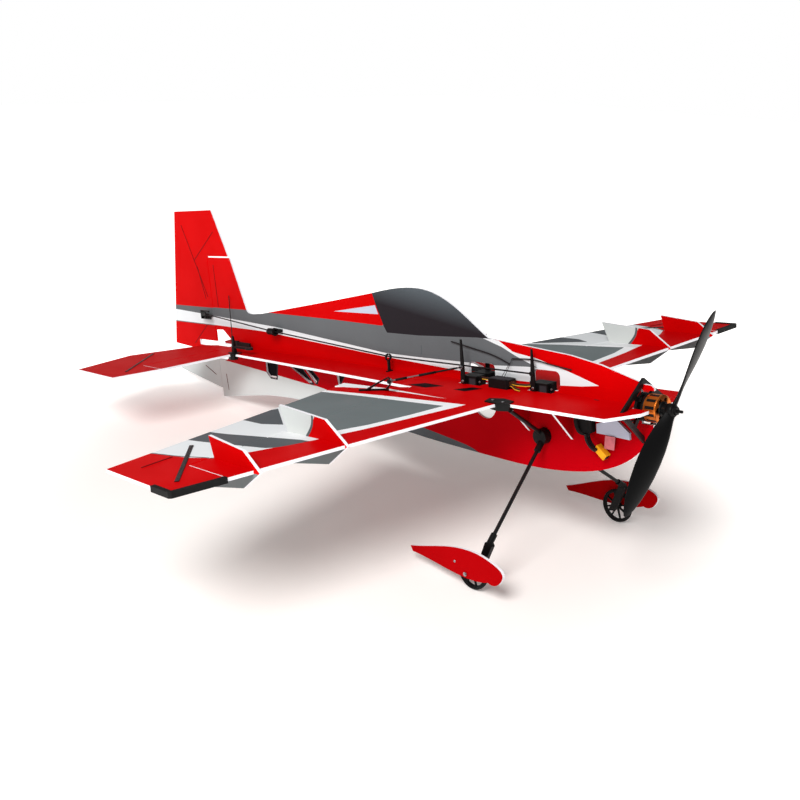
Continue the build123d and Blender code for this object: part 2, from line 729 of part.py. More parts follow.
# clip on the deck's edge at the wing's leading-edge root: (x, y)
CLIP_TOP = [(6, -58), (10, -70), (29, -71.5), (41, -67), (38, -56), (22, -52)]
CLIP_BOTTOM = [(14, -60), (16, -69), (29, -71.5), (41, -67), (39, -58), (28, -56)]
CLIP_WEB = [(26.2, -64.4), (25.6, -71), (29, -71.5), (41, -67), (40.4, -64.4)]


def rod_pair(ends, radius):
    """Starboard rod and its mirror image."""
    with BuildPart() as rods:
        rod(*ends, radius)
        mirror(about=Plane.XZ)
    return rods.part


def gear_hub(struts, braces):
    """Flange on each side of the keel, a core through it and a socket for each strut."""
    with BuildPart() as hub:
        for y in (HUB_Y, -HALF):
            disc(side(y), HUB_FLANGE_R, HUB_Y - HALF, at=HUB)
        disc(side(HUB_Y), HUB_CORE_R, 2 * HUB_Y, at=HUB)
        for hand in (1, -1):
            start, end = [(x, hand * y, z) for x, y, z in STRUT]
            disc(rod_plane(start, end).offset(3), SOCKET_R, SOCKET_L)
        add(struts, mode=Mode.SUBTRACT)
        add(braces, mode=Mode.SUBTRACT)
    return hub.part


def gear_root_brackets(braces):
    with BuildPart() as brackets:
        plate(level(HALF), 1.4, CLIP_TOP)
        plate(level(-HALF), -3.6, CLIP_BOTTOM)
        plate(level(-HALF), FOAM, CLIP_WEB)
        add(braces, mode=Mode.SUBTRACT)
        mirror(about=Plane.XZ)
    return brackets.part


def wheel_axles():
    """Axles, with a screw head outside the spat."""
    with BuildPart() as axles:
        disc(side(-AXLE_IN), AXLE_R, AXLE_L, at=AXLE)
        disc(side(-(PANT_Y + HALF)), 2.2, 1.5, at=AXLE)
        mirror(about=Plane.XZ)
    return axles.part


def axle_brackets(struts, axles):
    """Plate from the strut's foot to the axle, with a sleeve on the strut and a spacer boss."""
    with BuildPart() as brackets:
        plate(side(-AXLE_BRACKET_Y), AXLE_BRACKET_T,
              [(WHEEL_X - 4, WHEEL_Z - 3), (WHEEL_X + 4.5, WHEEL_Z - 2), (50, -134), (47, -128),
               (41, -131)])
        disc(rod_plane(*STRUT).offset(span(*STRUT) - 10), 3.4, 12)
        disc(side(-AXLE_BRACKET_Y - AXLE_BRACKET_T), 3.2, 3.2, at=AXLE)
        add(struts, mode=Mode.SUBTRACT)
        add(axles, mode=Mode.SUBTRACT)
        mirror(about=Plane.XZ)
    return brackets.part


# ---------------------------------------------------------------- spats
# upper edge, tail to nose, and lower edge, nose to tail: (x, z)
SPAT_TOP = [(-53, -150.5), (-20, -143.5), (20, -136), (45, -136), (66, -141), (80.5, -151.5),
            (76, -160), (60, -163.5)]
SPAT_BOTTOM = [(60, -163.5), (40, -166.5), (18, -165.5), (-10, -161.5), (-50, -156.5)]
LEFT_SPAT_TILT, LEFT_SPAT_LIFT = 4.5, 2.0    # the port spat sits nose-up and higher


def tip_up(points, angle, lift):
    """Spat outline turned nose-up about the axle and lifted."""
    c, s = cos(radians(angle)), sin(radians(angle))
    offsets = [(x - WHEEL_X, z - WHEEL_Z) for x, z in points]
    return [(WHEEL_X + dx * c - dz * s, WHEEL_Z + dx * s + dz * c + lift) for dx, dz in offsets]


def wheel_pant(y, top, bottom, axles):
    with BuildPart() as spat:
        with BuildSketch(side(y)):
            with BuildLine():
                Spline(*top)
                Spline(*bottom)
                Line(bottom[-1], top[0])
            make_face()
        extrude(amount=HALF, both=True)
        add(axles, mode=Mode.SUBTRACT)
    return spat.part


# ---------------------------------------------------------------- wheel
RIM_R = WHEEL_R - 2.8
SPOKE_T, HUB_W, BORE_CUT_L = 2.4, 7.6, 16


def wheel():
    with BuildPart() as spoked:
        with BuildSketch(side(-(WHEEL_Y - WHEEL_W / 2))):
            with Locations(AXLE):
                Circle(WHEEL_R)
                Circle(RIM_R, mode=Mode.SUBTRACT)
        extrude(amount=WHEEL_W)
        circles = spoked.edges().filter_by(GeomType.CIRCLE)
        fillet(circles.filter_by(lambda edge: edge.radius > WHEEL_R - 1), radius=1.6)
        with BuildSketch(side(-(WHEEL_Y - SPOKE_T / 2))):
            with Locations(AXLE):
                with PolarLocations(10.4, 8):
                    Rectangle(14.6, 1.9)
        extrude(amount=SPOKE_T)
        disc(side(-(WHEEL_Y - HUB_W / 2)), 3.6, HUB_W, at=AXLE)
        disc(side(-(WHEEL_Y - BORE_CUT_L / 2)), AXLE_R + 0.06, BORE_CUT_L, at=AXLE,
             mode=Mode.SUBTRACT)
    return spoked.part


# ---------------------------------------------------------------- tail bracing
TAIL_BRACE = ((-524.0, -35.0, 9.0), (-573.0, -HALF - 0.7, 78.0))     # starboard rod (x, y, z)
TAIL_BRACE_R = 0.6
# starboard bracket on the deck: (x, y)
TAIL_FOOT = [(-531, -31), (-531, -40), (-520, -43), (-508, -40), (-508, -31)]
TAIL_ARM = [(-520, -38), (-486, -36), (-486, -32), (-520, -33.5)]
TAIL_UNDERSIDE = [(-526, -36), (-526, -43), (-519, -44.5), (-512, -42), (-512, -36)]
TAIL_WEB = [(-518.8, -40.3), (-518.8, -44.4), (-511, -42.5), (-511, -40.4)]
POST_AT = (-520, -36)


def tail_brackets(brace_rods):
    """Foot with a tapered post and a forward arm, clipped round the deck's edge."""
    with BuildPart() as brackets:
        plate(level(HALF), 1.2, TAIL_FOOT)
        with BuildSketch(level(HALF)):
            with Locations(POST_AT):
                Rectangle(7, 5)
        with BuildSketch(level(27)):
            with Locations(POST_AT):
                Rectangle(3.0, 2.2)
        loft()
        with BuildSketch(level(9.5)):
            with BuildLine():
                Polyline(*TAIL_ARM, close=True)
            make_face()
            with Locations((-483, -34)):
                Ellipse(7.5, 4.6)
        extrude(amount=3.0)
        plate(level(-HALF), -5, TAIL_UNDERSIDE)
        plate(level(-HALF), FOAM + 1.0, TAIL_WEB)
        add(brace_rods, mode=Mode.SUBTRACT)
        mirror(about=Plane.XZ)
    return brackets.part


# ---------------------------------------------------------------- motor
FOOT_CROSS_T = 2.5                   # cross-shaped foot of the stator
BELL_BACK = MOTOR_X + 4.6            # rear rim of the bell
BELL_R, BELL_L, BELL_CAP_T = 14.0, 14.0, 1.8
BELL_CAP = BELL_BACK + BELL_L
BELL_FRONT = BELL_CAP + BELL_CAP_T
PROP_HUB_T = 7.0
PROP_BACK, PROP_FRONT = PROP_X - PROP_HUB_T / 2, PROP_X + PROP_HUB_T / 2
SHAFT_BACK, SHAFT_FRONT = MOTOR_X - 2.5, PROP_X + 12.0


def motor_stator():
    with BuildPart() as stator:
        with BuildSketch(cross(MOTOR_X)):
            with PolarLocations(0, 4, start_angle=45):
                Rectangle(26, 5.0)
            Circle(7.5)
        extrude(amount=FOOT_CROSS_T)
        disc(cross(MOTOR_X + FOOT_CROSS_T), 4.4, 15.5)         # bearing tube
        disc(cross(MOTOR_X + 6.5), 11.9, 8.0)                  # windings
        disc(cross(MOTOR_X - 1.5), 3.6, 1.5)                   # boss in the mount's hole
        disc(cross(MOTOR_X - 3), SHAFT_R + 0.05, 30, mode=Mode.SUBTRACT)
        screw_circle(MOTOR_X, SCREW_R, FOOT_CROSS_T, mode=Mode.SUBTRACT)
    return stator.part


def motor_mount_screws():
    tail = 2.0
    with BuildPart() as screws:
        screw_circle(MOUNT_BACK - tail, SCREW_R, MOUNT_T + tail + FOOT_CROSS_T)
        screw_circle(MOTOR_X + FOOT_CROSS_T, 1.9, 1.3)
        # the tails are cut flush with the back of the mount
        split(bisect_by=cross(MOUNT_BACK), keep=Keep.TOP)
    return screws.part


def motor_bell():
    """Bell turning in one with the shaft and the propeller nut."""
    with BuildPart() as bell:
        with BuildSketch(cross(BELL_BACK)):
            Circle(BELL_R)
            Circle(BELL_R - 1.5, mode=Mode.SUBTRACT)
        extrude(amount=BELL_L)
        disc(cross(BELL_CAP), BELL_R, BELL_CAP_T)
        with BuildSketch(cross(BELL_CAP)):
            with PolarLocations(8.6, 6):
                Circle(3.1)
        extrude(amount=BELL_CAP_T, mode=Mode.SUBTRACT)
        disc(cross(BELL_FRONT), 5.6, PROP_BACK - BELL_FRONT)
        disc(cross(SHAFT_BACK), SHAFT_R, SHAFT_FRONT - SHAFT_BACK)
        with BuildSketch(cross(PROP_FRONT)):
            RegularPolygon(4.2, 6)
        extrude(amount=3.0)
        circles = bell.edges().filter_by(GeomType.CIRCLE)
        fillet(circles.filter_by(lambda edge: abs(edge.radius - BELL_R) < 0.01), radius=0.8)
    return bell.part


# ---------------------------------------------------------------- propeller
PROP_R, PROP_ANGLE = 114.0, 47.0     # the angle is from port towards up
# blade stations: (radius, chord, thickness, blade angle in degrees)
BLADE = [
    (4.5, 9.0, 5.0, 38), (16, 13.0, 3.6, 36), (34, 21.0, 2.6, 27), (60, 25.5, 2.0, 18.5),
    (85, 23.0, 1.6, 13.5), (104, 15.5, 1.2, 11), (PROP_R, 5.0, 0.8, 10),
]


def propeller():
    angle = radians(PROP_ANGLE)
    outward = direction(0, cos(angle), sin(angle))
    tangent = direction(0, -sin(angle), cos(angle))
    centre = point(PROP_X, 0, 0)
    with BuildPart() as prop:
        for hand in (1, -1):
            for radius, chord, thickness, twist in BLADE:
                chord_dir = (tangent * (hand * cos(radians(twist)))
                             + AIRFRAME.x_dir * sin(radians(twist)))
                with BuildSketch(Plane(origin=centre + outward * (hand * radius),
                                       x_dir=chord_dir, z_dir=outward * -hand)):
                    Ellipse(chord / 2, thickness / 2)
            loft()
        disc(cross(PROP_BACK), 6.4, PROP_HUB_T)
        disc(cross(PROP_X - 10), SHAFT_R, 20, mode=Mode.SUBTRACT)
    return prop.part


# ---------------------------------------------------------------- assembly and output
# pieces that others are cut to fit
mount = motor_mount()
spar = wing_spar()
joiner = elevator_joiner()
struts = rod_pair(STRUT, STRUT_R)
braces = rod_pair(BRACE, GEAR_BRACE_R)
axles = wheel_axles()
tail_rods = rod_pair(TAIL_BRACE, TAIL_BRACE_R)
aileron_part = aileron()

pieces = {
    "fuselage_deck": fuselage_deck(mount, spar),
    "keel_upper": keel_upper(mount),
    "keel_lower": keel_lower(mount),
    "wing_spar": spar,
    "stabilizer": stabilizer(),
    "motor_mount": mount,
    "motor_stator": motor_stator(),
    "motor_mount_screws": motor_mount_screws(),
    "motor_bell": motor_bell(),
    "propeller": propeller(),
    "rudder_servo": servo(RUDDER_SERVO_X, RUDDER_SERVO_Y, -HALF,
                          boss_h=RUDDER_BOSS_H, stub_h=RUDDER_STUB_H),
    "rudder_servo_arm": servo_arm(RUDDER_SERVO_X, RUDDER_ARM_Y, ARM_LONG - 5,
                                  thickness=RUDDER_ARM_T, pin_l=RUDDER_ARM_PIN_L),
    "rudder_pushrod": rudder_pushrod(),
    "rudder": rudder(),
    "rudder_horn": rudder_horn(),
    "elevator_servo": servo(ELEVATOR_SERVO_X, HALF, HALF + LUG_OUT, out=1),
    "elevator_servo_arm": servo_arm(ELEVATOR_SERVO_X, ARM_Y, ARM_SHORT, out=1),
    "elevator_pushrod": straight_pushrod(*ELEVATOR_ROD, EYE_R, PIN_R + 0.3),
    "elevator_joiner": joiner,
    "elevator_horn": elevator_horn(),
    "pushrod_guides": pushrod_guides(),
    "receiver": receiver(),
    "receiver_antennas": receiver_antennas(),
    "speed_controller": speed_controller(),
    "power_lead": power_lead(),
    "power_connector": power_connector(),
    "foam_stiffeners": foam_stiffeners(),
    "gear_hub": gear_hub(struts, braces),
    "gear_struts": struts,
    "gear_braces": braces,
    "gear_root_brackets": gear_root_brackets(braces),
    "wheel_axles": axles,
    "axle_brackets": axle_brackets(struts, axles),
    "wheel_pant_right": wheel_pant(-PANT_Y, SPAT_TOP, SPAT_BOTTOM, axles),
    "wheel_pant_left": wheel_pant(PANT_Y, tip_up(SPAT_TOP, LEFT_SPAT_TILT, LEFT_SPAT_LIFT),
                                  tip_up(SPAT_BOTTOM, LEFT_SPAT_TILT, LEFT_SPAT_LIFT), axles),
    "tail_brace_rods": tail_rods,
    "tail_brackets": tail_brackets(tail_rods),
}
handed = {
    "wing_panel": wing_panel(spar),
    "inner_fence": fence(INNER_FENCE_Y, INNER_FENCE),
    "outer_fence": fence(OUTER_FENCE_Y, OUTER_FENCE),
    "aileron": aileron_part,
    "tip_bumper": tip_bumper(aileron_part),
    "aileron_horn": aileron_horn(),
    "aileron_servo": servo(AILERON_SERVO_X, -HALF, -HALF - LUG_OUT),
    "aileron_servo_arm": servo_arm(AILERON_SERVO_X, -ARM_Y, ARM_LONG),
    "aileron_pushrod": straight_pushrod(*AILERON_ROD, EYE_R + 0.6, PIN_R + 0.6),
    "elevator": elevator(joiner),
    "wheel": wheel(),
}
for name, part in handed.items():
    pieces[f"{name}_right"] = part
    pieces[f"{name}_left"] = mirrored(part)

for name, part in pieces.items():
    part.label = name
    export_step(part, f"parts/{name}.step")
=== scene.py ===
"""Foam aerobatic model aeroplane with propeller, two wheels and open radio gear.

Lengths are millimetres in aeroplane axes (x forward, y port, z up) unless a comment says
otherwise. In the scene, in metres, it stands with its nose pitched up and its wheels on z = 0.
"""
import bpy, math, random
from mathutils import Vector, Matrix
from mathutils.geometry import delaunay_2d_cdt


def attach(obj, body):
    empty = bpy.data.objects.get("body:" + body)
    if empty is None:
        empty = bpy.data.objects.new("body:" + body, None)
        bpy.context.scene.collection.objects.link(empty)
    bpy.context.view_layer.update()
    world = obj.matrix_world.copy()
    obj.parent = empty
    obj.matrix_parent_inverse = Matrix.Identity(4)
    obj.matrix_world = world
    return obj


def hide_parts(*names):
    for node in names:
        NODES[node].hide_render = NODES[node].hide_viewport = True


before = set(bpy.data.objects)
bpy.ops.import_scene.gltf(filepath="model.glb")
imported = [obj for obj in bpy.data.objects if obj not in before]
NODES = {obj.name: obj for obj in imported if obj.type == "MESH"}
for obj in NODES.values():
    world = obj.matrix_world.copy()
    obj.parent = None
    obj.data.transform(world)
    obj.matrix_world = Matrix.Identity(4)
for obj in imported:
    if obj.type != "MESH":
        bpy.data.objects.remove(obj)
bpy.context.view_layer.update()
random.seed(7)
SIDES = (("right", -1), ("left", 1))   # name and sign of y

# ---------------------------------------------------------------- driving dimensions
WHEEL_X, WHEEL_Y, WHEEL_Z = 29.0, 121.0, -162.0
TYRE_RADIUS = 20.0
HALF_SHEET = 1.6                       # half the thickness of every foam sheet
INNER_FENCE_Y, OUTER_FENCE_Y, PANT_Y = 255.0, 350.0, 130.0
FLAT, UPRIGHT = 2, 1                   # index of the axis across a sheet

PITCH = math.radians(8.8)
SINE, COSINE = math.sin(PITCH), math.cos(PITCH)
ORIGIN_X = 272.92
ORIGIN_Z = TYRE_RADIUS - (WHEEL_X * SINE + WHEEL_Z * COSINE)


def to_scene(x, y, z):
    """Aeroplane axes in mm to the scene in metres."""
    return Vector(((ORIGIN_X + COSINE * x - SINE * z) / 1000, y / 1000,
                   (ORIGIN_Z + SINE * x + COSINE * z) / 1000))


def to_plane(point):
    """The scene in metres back to aeroplane axes in mm."""
    x, z = point.x * 1000 - ORIGIN_X, point.z * 1000 - ORIGIN_Z
    return (COSINE * x + SINE * z, point.y * 1000, -SINE * x + COSINE * z)


def direction(x, y, z):
    return (to_scene(x, y, z) - to_scene(0, 0, 0)).normalized()


# ---------------------------------------------------------------- shader helpers
MIX_A, MIX_B, MIX_RESULT = 6, 7, 2     # colour sockets of a Mix node


def feed(tree, socket, source):
    """Link a socket to another one, or give it a plain value."""
    if isinstance(source, bpy.types.NodeSocket):
        tree.links.new(source, socket)
    else:
        socket.default_value = source


def add_node(tree, kind, inputs=None, **settings):
    node = tree.nodes.new("ShaderNode" + kind)
    for key, value in settings.items():
        setattr(node, key, value)
    for key, source in (inputs or {}).items():
        feed(tree, node.inputs[key], source)
    return node


def map_range(tree, value, source=(0.0, 1.0), target=(0.0, 1.0), **settings):
    limits = dict(enumerate((*source, *target), start=1))
    return add_node(tree, "MapRange", {0: value, **limits}, **settings).outputs[0]


def mix_colours(tree, factor, first, second):
    return add_node(tree, "Mix", {0: factor, MIX_A: first, MIX_B: second},
                    data_type="RGBA").outputs[MIX_RESULT]


def linear(rgb):
    """sRGB in 0-255 to a linear colour with alpha."""
    parts = [value / 255 for value in rgb]
    return (*[v / 12.92 if v <= 0.04045 else ((v + 0.055) / 1.055) ** 2.4 for v in parts], 1)


# ---------------------------------------------------------------- materials
FILM_SPECULAR = 0.012
ROUGHNESS_SPREAD = 0.12                # either side of the mean roughness
BUMP_DISTANCE = 0.0003                 # metres
RELIEFS = {                            # node kind, height output, fixed inputs
    "noise": ("TexNoise", "Fac", {"Detail": 4}),
    "voronoi": ("TexVoronoi", "Distance", {}),
    "weave": ("TexWave", "Fac", {"Distortion": 1.5}),
}


def mottled_colour(tree, mottle, rgb, var, dark):
    """Noise between the colour and a darker one."""
    light = linear(rgb)
    deep = linear(dark) if dark else tuple(v * (1 - 2.0 * var) for v in light[:3]) + (1,)
    factor = map_range(tree, mottle, source=(0.35, 0.75), target=(0.0, 0.8))
    return mix_colours(tree, factor, light, deep)


def calm_bounce(tree, colour, rgb):
    """Make the light that bounces off the film nearly neutral."""
    ray = add_node(tree, "LightPath").outputs["Is Diffuse Ray"]
    share = add_node(tree, "Math", {0: ray, 1: 0.55}, operation="MULTIPLY").outputs[0]
    red, green, blue, _ = linear(rgb)
    level = 0.3 * red + 0.4 * green + 0.3 * blue
    return mix_colours(tree, share, colour, (level * 1.08, level * 0.98, level * 0.88, 1))


def canopy_gradient(tree):
    """Nearly black at the sill to blue grey at the top, by scene height in metres."""
    place = add_node(tree, "NewGeometry").outputs["Position"]
    height = add_node(tree, "SeparateXYZ", {0: place}).outputs["Z"]
    return mix_colours(tree, map_range(tree, height, source=(0.222, 0.272)),
                       linear((40, 36, 40)), linear((100, 110, 116)))


def material(name, rgb, rough=0.45, var=0.12, scale=60, bump=0.1, bump_scale=500,
             metal=0.0, specular=0.18, relief="noise", dark=None):
    """Mottled colour and roughness over a fine relief. No rgb gives the canopy gradient.

    var darkens the mottling when dark is not given; scale is the mottling's noise scale.
    """
    made = bpy.data.materials.new(name)
    made.use_nodes = True
    tree = made.node_tree
    place = add_node(tree, "TexCoord").outputs["Object"]
    mottle = add_node(tree, "TexNoise",
                      {"Scale": scale, "Detail": 5, "Vector": place}).outputs["Fac"]
    film = name.startswith("film_")
    if rgb is None:
        colour = canopy_gradient(tree)
    else:
        colour = mottled_colour(tree, mottle, rgb, var, dark)
        if film:
            colour = calm_bounce(tree, colour, rgb)
    kind, output, fixed = RELIEFS[relief]
    height = add_node(tree, kind, {"Scale": bump_scale, "Vector": place, **fixed})
    bumped = add_node(tree, "Bump", {"Strength": bump, "Distance": BUMP_DISTANCE,
                                     "Height": height.outputs[output]})
    surface = {
        "Base Color": colour,
        "Normal": bumped.outputs["Normal"],
        "Roughness": map_range(tree, mottle, target=(rough - ROUGHNESS_SPREAD,
                                                     rough + ROUGHNESS_SPREAD)),
        "Metallic": metal,
        "Specular IOR Level": FILM_SPECULAR if film else specular,
    }
    shader = tree.nodes["Principled BSDF"]
    for key, source in surface.items():
        feed(tree, shader.inputs[key], source)
    return made


# Printed films, with darker or separately toned copies of the red standing in for shade (painted
# shade): name, sRGB, var, scale, bump, darker sRGB
FILMS = [
    ("red", (202, 0, 2), 0.07, 14, 0.12, None),
    # top_red_painted_shade: a copy of the red film for the upward-facing sheets, toned apart from
    # the upright sheets' red for the light from above: painted shade
    ("top_red_painted_shade", (202, 0, 4), 0.07, 14, 0.12, None),
    # spat_red_painted_shade: the red film darkened for the wheel pants, which the lamps light
    # more strongly: painted shade
    ("spat_red_painted_shade", (170, 0, 5), 0.07, 14, 0.12, None),
    # crimson: the red film darkened for the lower keel and the stiffeners' fore and aft faces,
    # which lie in shade: painted shade
    ("dark_red_painted_shade", (184, 0, 13), 0.07, 14, 0.12, None),
    ("grey", (112, 121, 123), 0.06, 14, 0.12, None),
    ("light_grey", (206, 212, 212), 0.04, 10, 0.12, None),
    ("side_grey", (101, 104, 107), 0.06, 14, 0.12, None),
    ("dark_grey", (90, 95, 99), 0.06, 14, 0.12, None),
    ("canopy", (56, 52, 56), 0.2, 9, 0.1, (38, 36, 40)),
    ("canopy_top", None, 0.12, 9, 0.1, None),
    ("ink_and_shade", (16, 14, 18), 0.15, 30, 0.1, None),
    ("white", (226, 230, 233), 0.03, 14, 0.1, None),
    ("lavender", (190, 196, 214), 0.04, 14, 0.1, None),
    ("trim_white", (244, 246, 249), 0.02, 14, 0.1, None),
]
MATERIALS = {
    name: material("film_" + name, rgb, var=var, scale=scale, bump=bump, bump_scale=700,
                   relief="voronoi", dark=dark)
    for name, rgb, var, scale, bump, dark in FILMS
}
MATERIALS.update({
    "line": material("film_line", (96, 26, 28), var=0.1, scale=30),
    "foam": material("foam_white", (240, 240, 246), rough=0.75, var=0.04, scale=90, bump=0.35,
                     bump_scale=900, relief="voronoi", specular=0.2),
    "carbon": material("carbon_fibre", (7, 7, 9), var=0.2, scale=300, bump=0.15,
                       bump_scale=700, relief="weave", specular=0.25),
    "black": material("moulded_black", (7, 7, 8), rough=0.5, var=0.2, scale=120, bump=0.12,
                      bump_scale=1500),
    "rubber": material("rubber_black", (13, 13, 14), rough=0.72, var=0.2, scale=150, bump=0.2,
                       bump_scale=1800, specular=0.2),
    "blade": material("blade_black", (8, 8, 9), rough=0.42, var=0.2, scale=50, bump=0.06,
                      bump_scale=900, specular=0.12),
    "steel": material("steel", (170, 172, 176), rough=0.3, var=0.15, scale=200, bump=0.08,
                      bump_scale=1500, metal=1.0),
    "copper": material("anodised_orange", (222, 120, 44), rough=0.3, scale=90, bump=0.06,
                       bump_scale=1500, metal=0.85, dark=(150, 66, 18)),
    "winding": material("winding_copper", (176, 88, 34), rough=0.35, var=0.3, scale=500,
                        bump=0.5, bump_scale=1400, metal=0.9, relief="weave"),
    "yellow": material("connector_yellow", (248, 176, 24), rough=0.4, scale=90,
                       bump_scale=1200, dark=(216, 130, 8)),
    "wire_dark": material("wire_dark", (30, 26, 28), rough=0.5, var=0.2, scale=200),
    "wire_yellow": material("wire_yellow", (236, 170, 40), var=0.1, scale=200),
    "wire_brown": material("wire_brown", (84, 44, 26), var=0.15, scale=200),
    "pink": material("hook_pad", (214, 120, 128), rough=0.8, scale=200, bump=0.4,
                     bump_scale=1800),
})


# ---------------------------------------------------------------- mesh helpers
def make(name, vertices, faces, materials, face_slots=None, body="airframe", replaced=(),
         smooth=False, bevel=0.0):
    """An object from scene vertices, leaving out those no face uses. bevel is in mm."""
    used = sorted({i for face in faces for i in face})
    new_index = {old: new for new, old in enumerate(used)}
    mesh = bpy.data.meshes.new(name)
    mesh.from_pydata([tuple(vertices[i]) for i in used], [],
                     [[new_index[i] for i in face] for face in faces])
    for key in materials:
        mesh.materials.append(MATERIALS[key])
    if face_slots:
        mesh.polygons.foreach_set("material_index", face_slots)
    mesh.validate()
    if smooth:
        mesh.polygons.foreach_set("use_smooth", [True] * len(mesh.polygons))
    mesh.update()
    made = bpy.data.objects.new(name, mesh)
    bpy.context.scene.collection.objects.link(made)
    if bevel:
        edge = made.modifiers.new("edge", "BEVEL")
        edge.width, edge.segments, edge.limit_method = bevel / 1000, 2, "ANGLE"
        edge.use_clamp_overlap = True
    if replaced:
        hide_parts(*replaced)
    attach(made, body)
    return made


def ring_faces(rings, sides, base=0):
    """Quads between successive rings of vertices."""
    faces = []
    for i in range(rings - 1):
        near, far = base + i * sides, base + (i + 1) * sides
        for j in range(sides):
            k = (j + 1) % sides
            faces.append([near + j, near + k, far + k, far + j])
    return faces


def smooth_line(points, steps=6):
    """Catmull-Rom line through the points."""
    line = []
    for i in range(len(points) - 1):
        four = (points[max(i - 1, 0)], points[i], points[i + 1],
                points[min(i + 2, len(points) - 1)])
        for k in range(steps):
            t = k / steps
            line.append(tuple(
                0.5 * (2 * b + (c - a) * t + (2 * a - 5 * b + 4 * c - d) * t * t
                       + (3 * b - a - 3 * c + d) * t ** 3)
                for a, b, c, d in zip(*four)))
    line.append(tuple(points[-1]))
    return line


def tube(name, points, radius, key, body="airframe", sides=10, replaced=(), steps=0):
    """A round bar or wire along points. radius may be a list, one for each point."""
    line = smooth_line(points, steps) if steps else points
    radii = radius if isinstance(radius, list) else [radius] * len(line)
    centres = [to_scene(*p) for p in line]
    last = len(centres) - 1
    vertices = []
    across = None
    for i, centre in enumerate(centres):
        along = (centres[min(i + 1, last)] - centres[max(i - 1, 0)]).normalized()
        if across is None:
            across = along.orthogonal().normalized()
        across = (across - along * across.dot(along)).normalized()
        other = along.cross(across)
        for j in range(sides):
            a = 2 * math.pi * j / sides
            offset = across * math.cos(a) + other * math.sin(a)
            vertices.append(centre + offset * radii[i] / 1000)
    faces = ring_faces(len(centres), sides)
    faces.append(list(range(sides))[::-1])
    faces.append([last * sides + j for j in range(sides)])
    return make(name, vertices, faces, [key], None, body, replaced, smooth=True)


def block(name, centre, u, v, w, key, body="airframe", bevel=0.3, taper=1.0):
    """A bar with half-size vectors u, v, w; its +w end is scaled by taper."""
    vertices = []
    for end in (-1, 1):
        size = taper if end == 1 else 1.0
        for a, b in ((-1, -1), (1, -1), (1, 1), (-1, 1)):
            vertices.append(to_scene(*[centre[i] + u[i] * a * size + v[i] * b * size
                                       + w[i] * end for i in range(3)]))
    faces = [[0, 3, 2, 1], [4, 5, 6, 7], [0, 1, 5, 4], [1, 2, 6, 5], [2, 3, 7, 6], [3, 0, 4, 7]]
    return make(name, vertices, faces, [key], None, body, bevel=bevel)


def box(name, centre, half, key, body="airframe", bevel=0.3):
    """A block square to the axes."""
    return block(name, centre, (half[0], 0, 0), (0, half[1], 0), (0, 0, half[2]),
                 key, body, bevel)


def plate(name, outline, axis, low, high, key, body, edge_key):
    """A flat sheet between low and high on its axis; the outline is in the other two."""
    pairs = zip(outline, outline[1:] + outline[:1])
    turn = sum(p[0] * q[1] - q[0] * p[1] for p, q in pairs)
    outline = outline if (turn > 0) == (axis == FLAT) else outline[::-1]
    n = len(outline)
    vertices = [to_scene(x, v, h) if axis == FLAT else to_scene(x, h, v)
                for h in (low, high) for x, v in outline]
    faces = [list(range(n))[::-1], [n + j for j in range(n)]]
    faces += [[j, (j + 1) % n, n + (j + 1) % n, n + j] for j in range(n)]
    return make(name, vertices, faces, [key, edge_key], [0, 0] + [1] * n, body)


def lathe(name, centre, axis, profile, key, body="airframe", sides=48, replaced=()):
    """A turned shape; the profile is (distance along the axis, radius) from the centre."""
    along = direction(*axis)
    across = along.orthogonal().normalized()
    other = along.cross(across)
    middle = to_scene(*centre)
    vertices = []
    for distance, radius in profile:
        for j in range(sides):
            a = 2 * math.pi * j / sides
            offset = across * math.cos(a) + other * math.sin(a)
            vertices.append(middle + along * (distance / 1000) + offset * (radius / 1000))
    faces = ring_faces(len(profile), sides)
    return make(name, vertices, faces, [key], [0] * len(faces), body, replaced,
                smooth=True)


# ---------------------------------------------------------------- CAD pieces read as points
def cad_points(node):
    source = NODES[node]
    return [to_plane(source.matrix_world @ v.co) for v in source.data.vertices]


def cad_faces(node):
    return [tuple(p.vertices) for p in NODES[node].data.polygons]


def face_normal(points, face):
    a, b, c = (Vector(points[i]) for i in face[:3])
    normal = (b - a).cross(c - a)
    return normal.normalized() if normal.length > 1e-9 else normal


def paint(node, body, keys, pick):
    """The CAD piece as its own mesh; pick(middle, normal) gives each face's material."""
    points, faces = cad_points(node), cad_faces(node)
    face_slots = []
    for face in faces:
        middle = sum((Vector(points[i]) for i in face), Vector()) / len(face)
        face_slots.append(keys.index(pick(middle, face_normal(points, face))))
    return make("detail_" + node, [to_scene(*p) for p in points], faces, keys, face_slots,
                body, (node,))


# ---------------------------------------------------------------- foam sheets with printed film
def encloses(edges, x, y):
    """Whether a closed set of edges goes round the point."""
    found = False
    for a, b in edges:
        if (a[1] > y) != (b[1] > y) and x < (b[0] - a[0]) * (y - a[1]) / (b[1] - a[1]) + a[0]:
            found = not found
    return found


def split_sheet(points, faces, axis, middle):
    """The two faces and the bevelled strips of a sheet, and its square walls."""
    top, bottom = middle + HALF_SHEET, middle - HALF_SHEET
    skins, walls = {"top": [], "bottom": []}, []
    for face in faces:
        if all(abs(points[i][axis] - top) < 0.03 for i in face):
            skins["top"].append(face)
        elif all(abs(points[i][axis] - bottom) < 0.03 for i in face):
            skins["bottom"].append(face)
        else:
            normal = face_normal(points, face)
            if 0.3 < abs(normal[axis]) < 0.97:
                group = (round(normal.x, 1), round(normal.y, 1), round(normal.z, 1))
                skins.setdefault(group, []).append(face)
            else:
                walls.append(face)
    return [skin for skin in skins.values() if skin], walls


